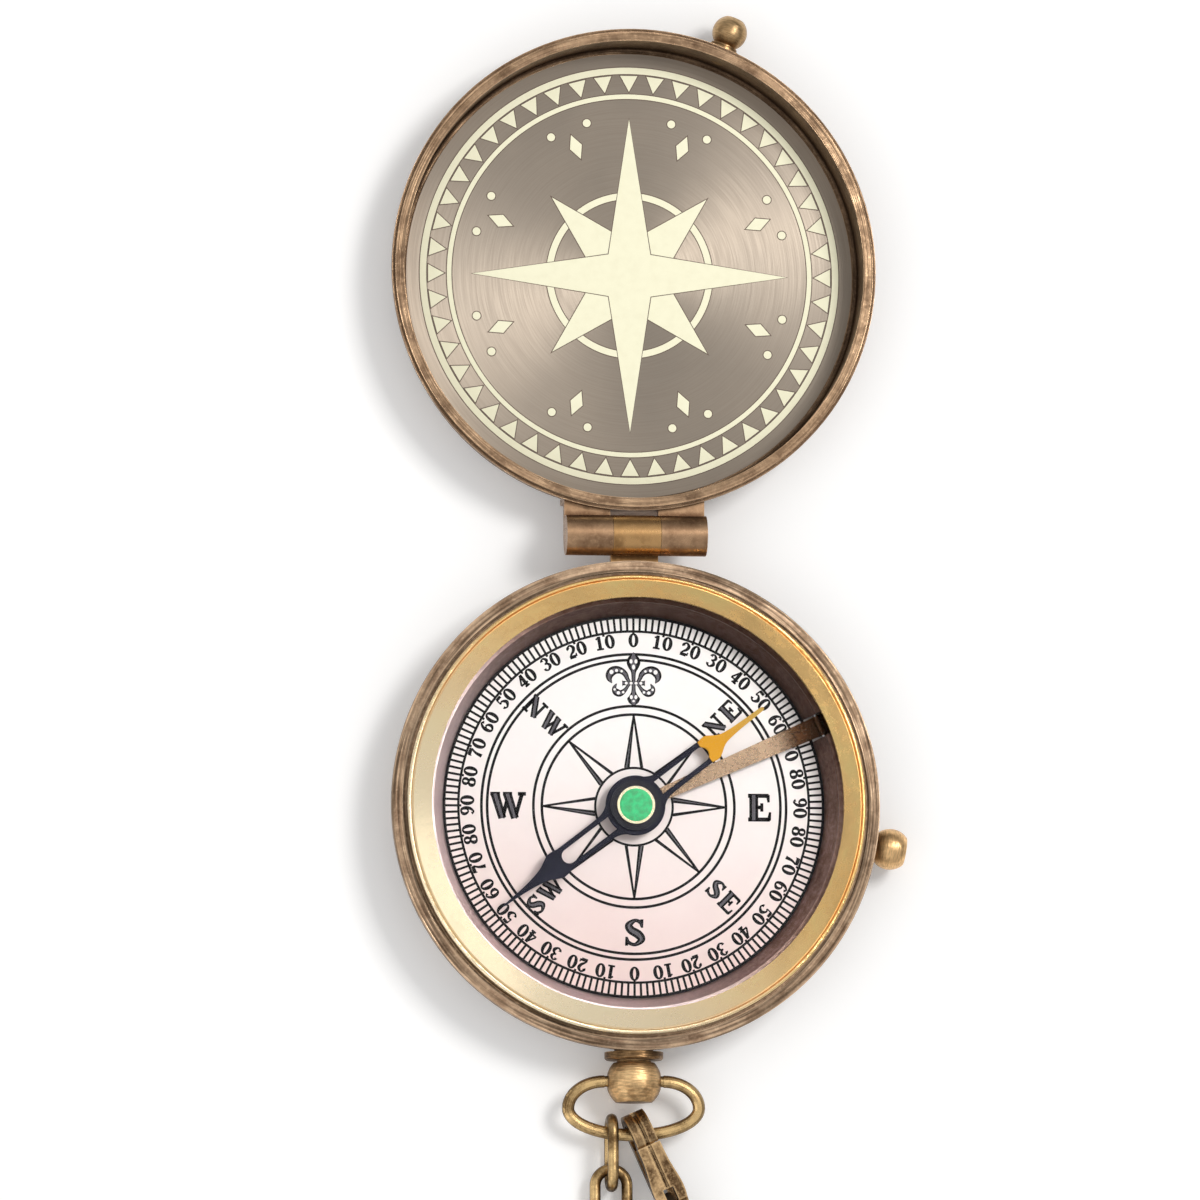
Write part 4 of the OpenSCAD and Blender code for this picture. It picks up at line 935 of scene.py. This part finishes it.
ring_profile = [(RING_INNER, BLADE_LOW), (RING_OUTER, BLADE_LOW), (RING_OUTER, BLADE_TOP - 0.16),
                (RING_SHOULDER, BLADE_TOP - 0.01), (RING_INNER, BLADE_TOP - 0.01)]
turn = math.radians(NEEDLE_TURN)
spin = np.array([[math.cos(turn), math.sin(turn), 0], [-math.sin(turn), math.cos(turn), 0],
                 [0, 0, 1]])
parts = [blade_half(NORTH_EDGE, (1, 1)), blade_half(SOUTH_EDGE, (-1, -1)),
         turned_ring(ring_profile)]
parts = [(points @ spin, faces) for points, faces in parts]
needle = print_on("needle_blade_ground", parts, blade, "needle")
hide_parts("needle_blade")

hub_black = mottled("black hub", (0.005, 0.005, 0.009), (0.02, 0.02, 0.03), 700.0, Roughness=0.35,
                    Specular_IOR_Level=0.22)
dress(hub_black, "needle_hub")
pale = brass("pale ring brass", (0.90, 0.80, 0.55), (0.5, 0.4, 0.22), 0.2, 0.6, 0.4)
dress(pale, "hub_ring")
green = mottled("green enamel", (0.02, 0.56, 0.19), (0.03, 0.36, 0.12), 1300.0, 5.0, (0.35, 0.7),
                Roughness=0.4)
dress(green, "hub_disc")
jewel = mottled("ruby cup", (0.45, 0.05, 0.05), (0.3, 0.03, 0.04), 800.0, Roughness=0.1)
dress(jewel, "jewel_cup")

# The enamel's dome: its height over the ring is its rise times 1 less the fourth power of the
# radius, as a share of the dome's own.
DOT_R, DOT_RISE = 2.52, 0.07
ENAMEL_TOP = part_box("hub_ring")[1][2] / MM
reach = np.linspace(1, 0.02, 9)
dome_top = np.column_stack([DOT_R * reach, ENAMEL_TOP + DOT_RISE * (1 - reach ** 4)])
dome_foot = [[0.02 * DOT_R, ENAMEL_TOP - 0.04], [DOT_R, ENAMEL_TOP - 0.04]]
print_on("hub_enamel", [turned_ring(np.vstack([dome_foot, dome_top]))], green, "needle")

# --- Pendant, bow, chain and clasp ---------------------------------------------------------
# A turned ball on a dark plate carries an oval wire bow. A chain of soldered links and a clasp
# of two bars with a sprung gate hang on the bow. All are rubbed bright, and their sides, where they
# turn away from the eye, are darkened with painted shade.
def turned_away(material, low, high):
    """A mask that goes from 0 to 1 as a face turns away from the eye, for painted shade."""
    weight = material.node_tree.nodes.new("ShaderNodeLayerWeight")
    weight.inputs["Blend"].default_value = 0.5
    return fade(material.node_tree, weight.outputs["Facing"], low, high)


BALL_AT, BALL_TURN = (0, -42, 4.9), (90, 0, 0)
ball = brass("ball brass", (0.90, 0.60, 0.30), (0.28, 0.155, 0.065), 0.38, 1.0, 0.7,
             centre=BALL_AT, turn=BALL_TURN, lines=1700.0, turned=0.6, patches=1.3, polish=-0.14)
# Painted shade: the ball darkens where it turns away from the eye.
lay_over(ball, (0.09, 0.045, 0.015), turned_away(ball, 0.25, 0.95), 0.8)
dress(ball, "pendant_ball")
neck = brass("pendant plate brass", (0.36, 0.215, 0.10), (0.05, 0.025, 0.010), 0.60, 1.3, 0.9,
             centre=BALL_AT, turn=BALL_TURN, lines=2400.0, turned=0.8)
dress(neck, "pendant_plate")
chain = brass("chain brass", (0.90, 0.62, 0.29), (0.15, 0.085, 0.034), 0.52, 1.4, 1.0, edge=0.3,
              patches=2.3)
# Painted shade: the bow and chain darken where they turn away from the eye.
lay_over(chain, (0.055, 0.030, 0.010), turned_away(chain, 0.16, 0.72), 0.88)
dress(chain, "bow", "chain_links")
clasp = brass("clasp brass", (0.86, 0.58, 0.30), (0.070, 0.037, 0.017), 0.68, 1.6, 1.3, edge=0.5,
              patches=1.9)
# Painted shade: the clasp darkens where it turns away from the eye.
lay_over(clasp, (0.05, 0.025, 0.010), turned_away(clasp, 0.35, 0.9), 0.8)
dress(clasp, "clasp_body", "clasp_gate", "clasp_pin")
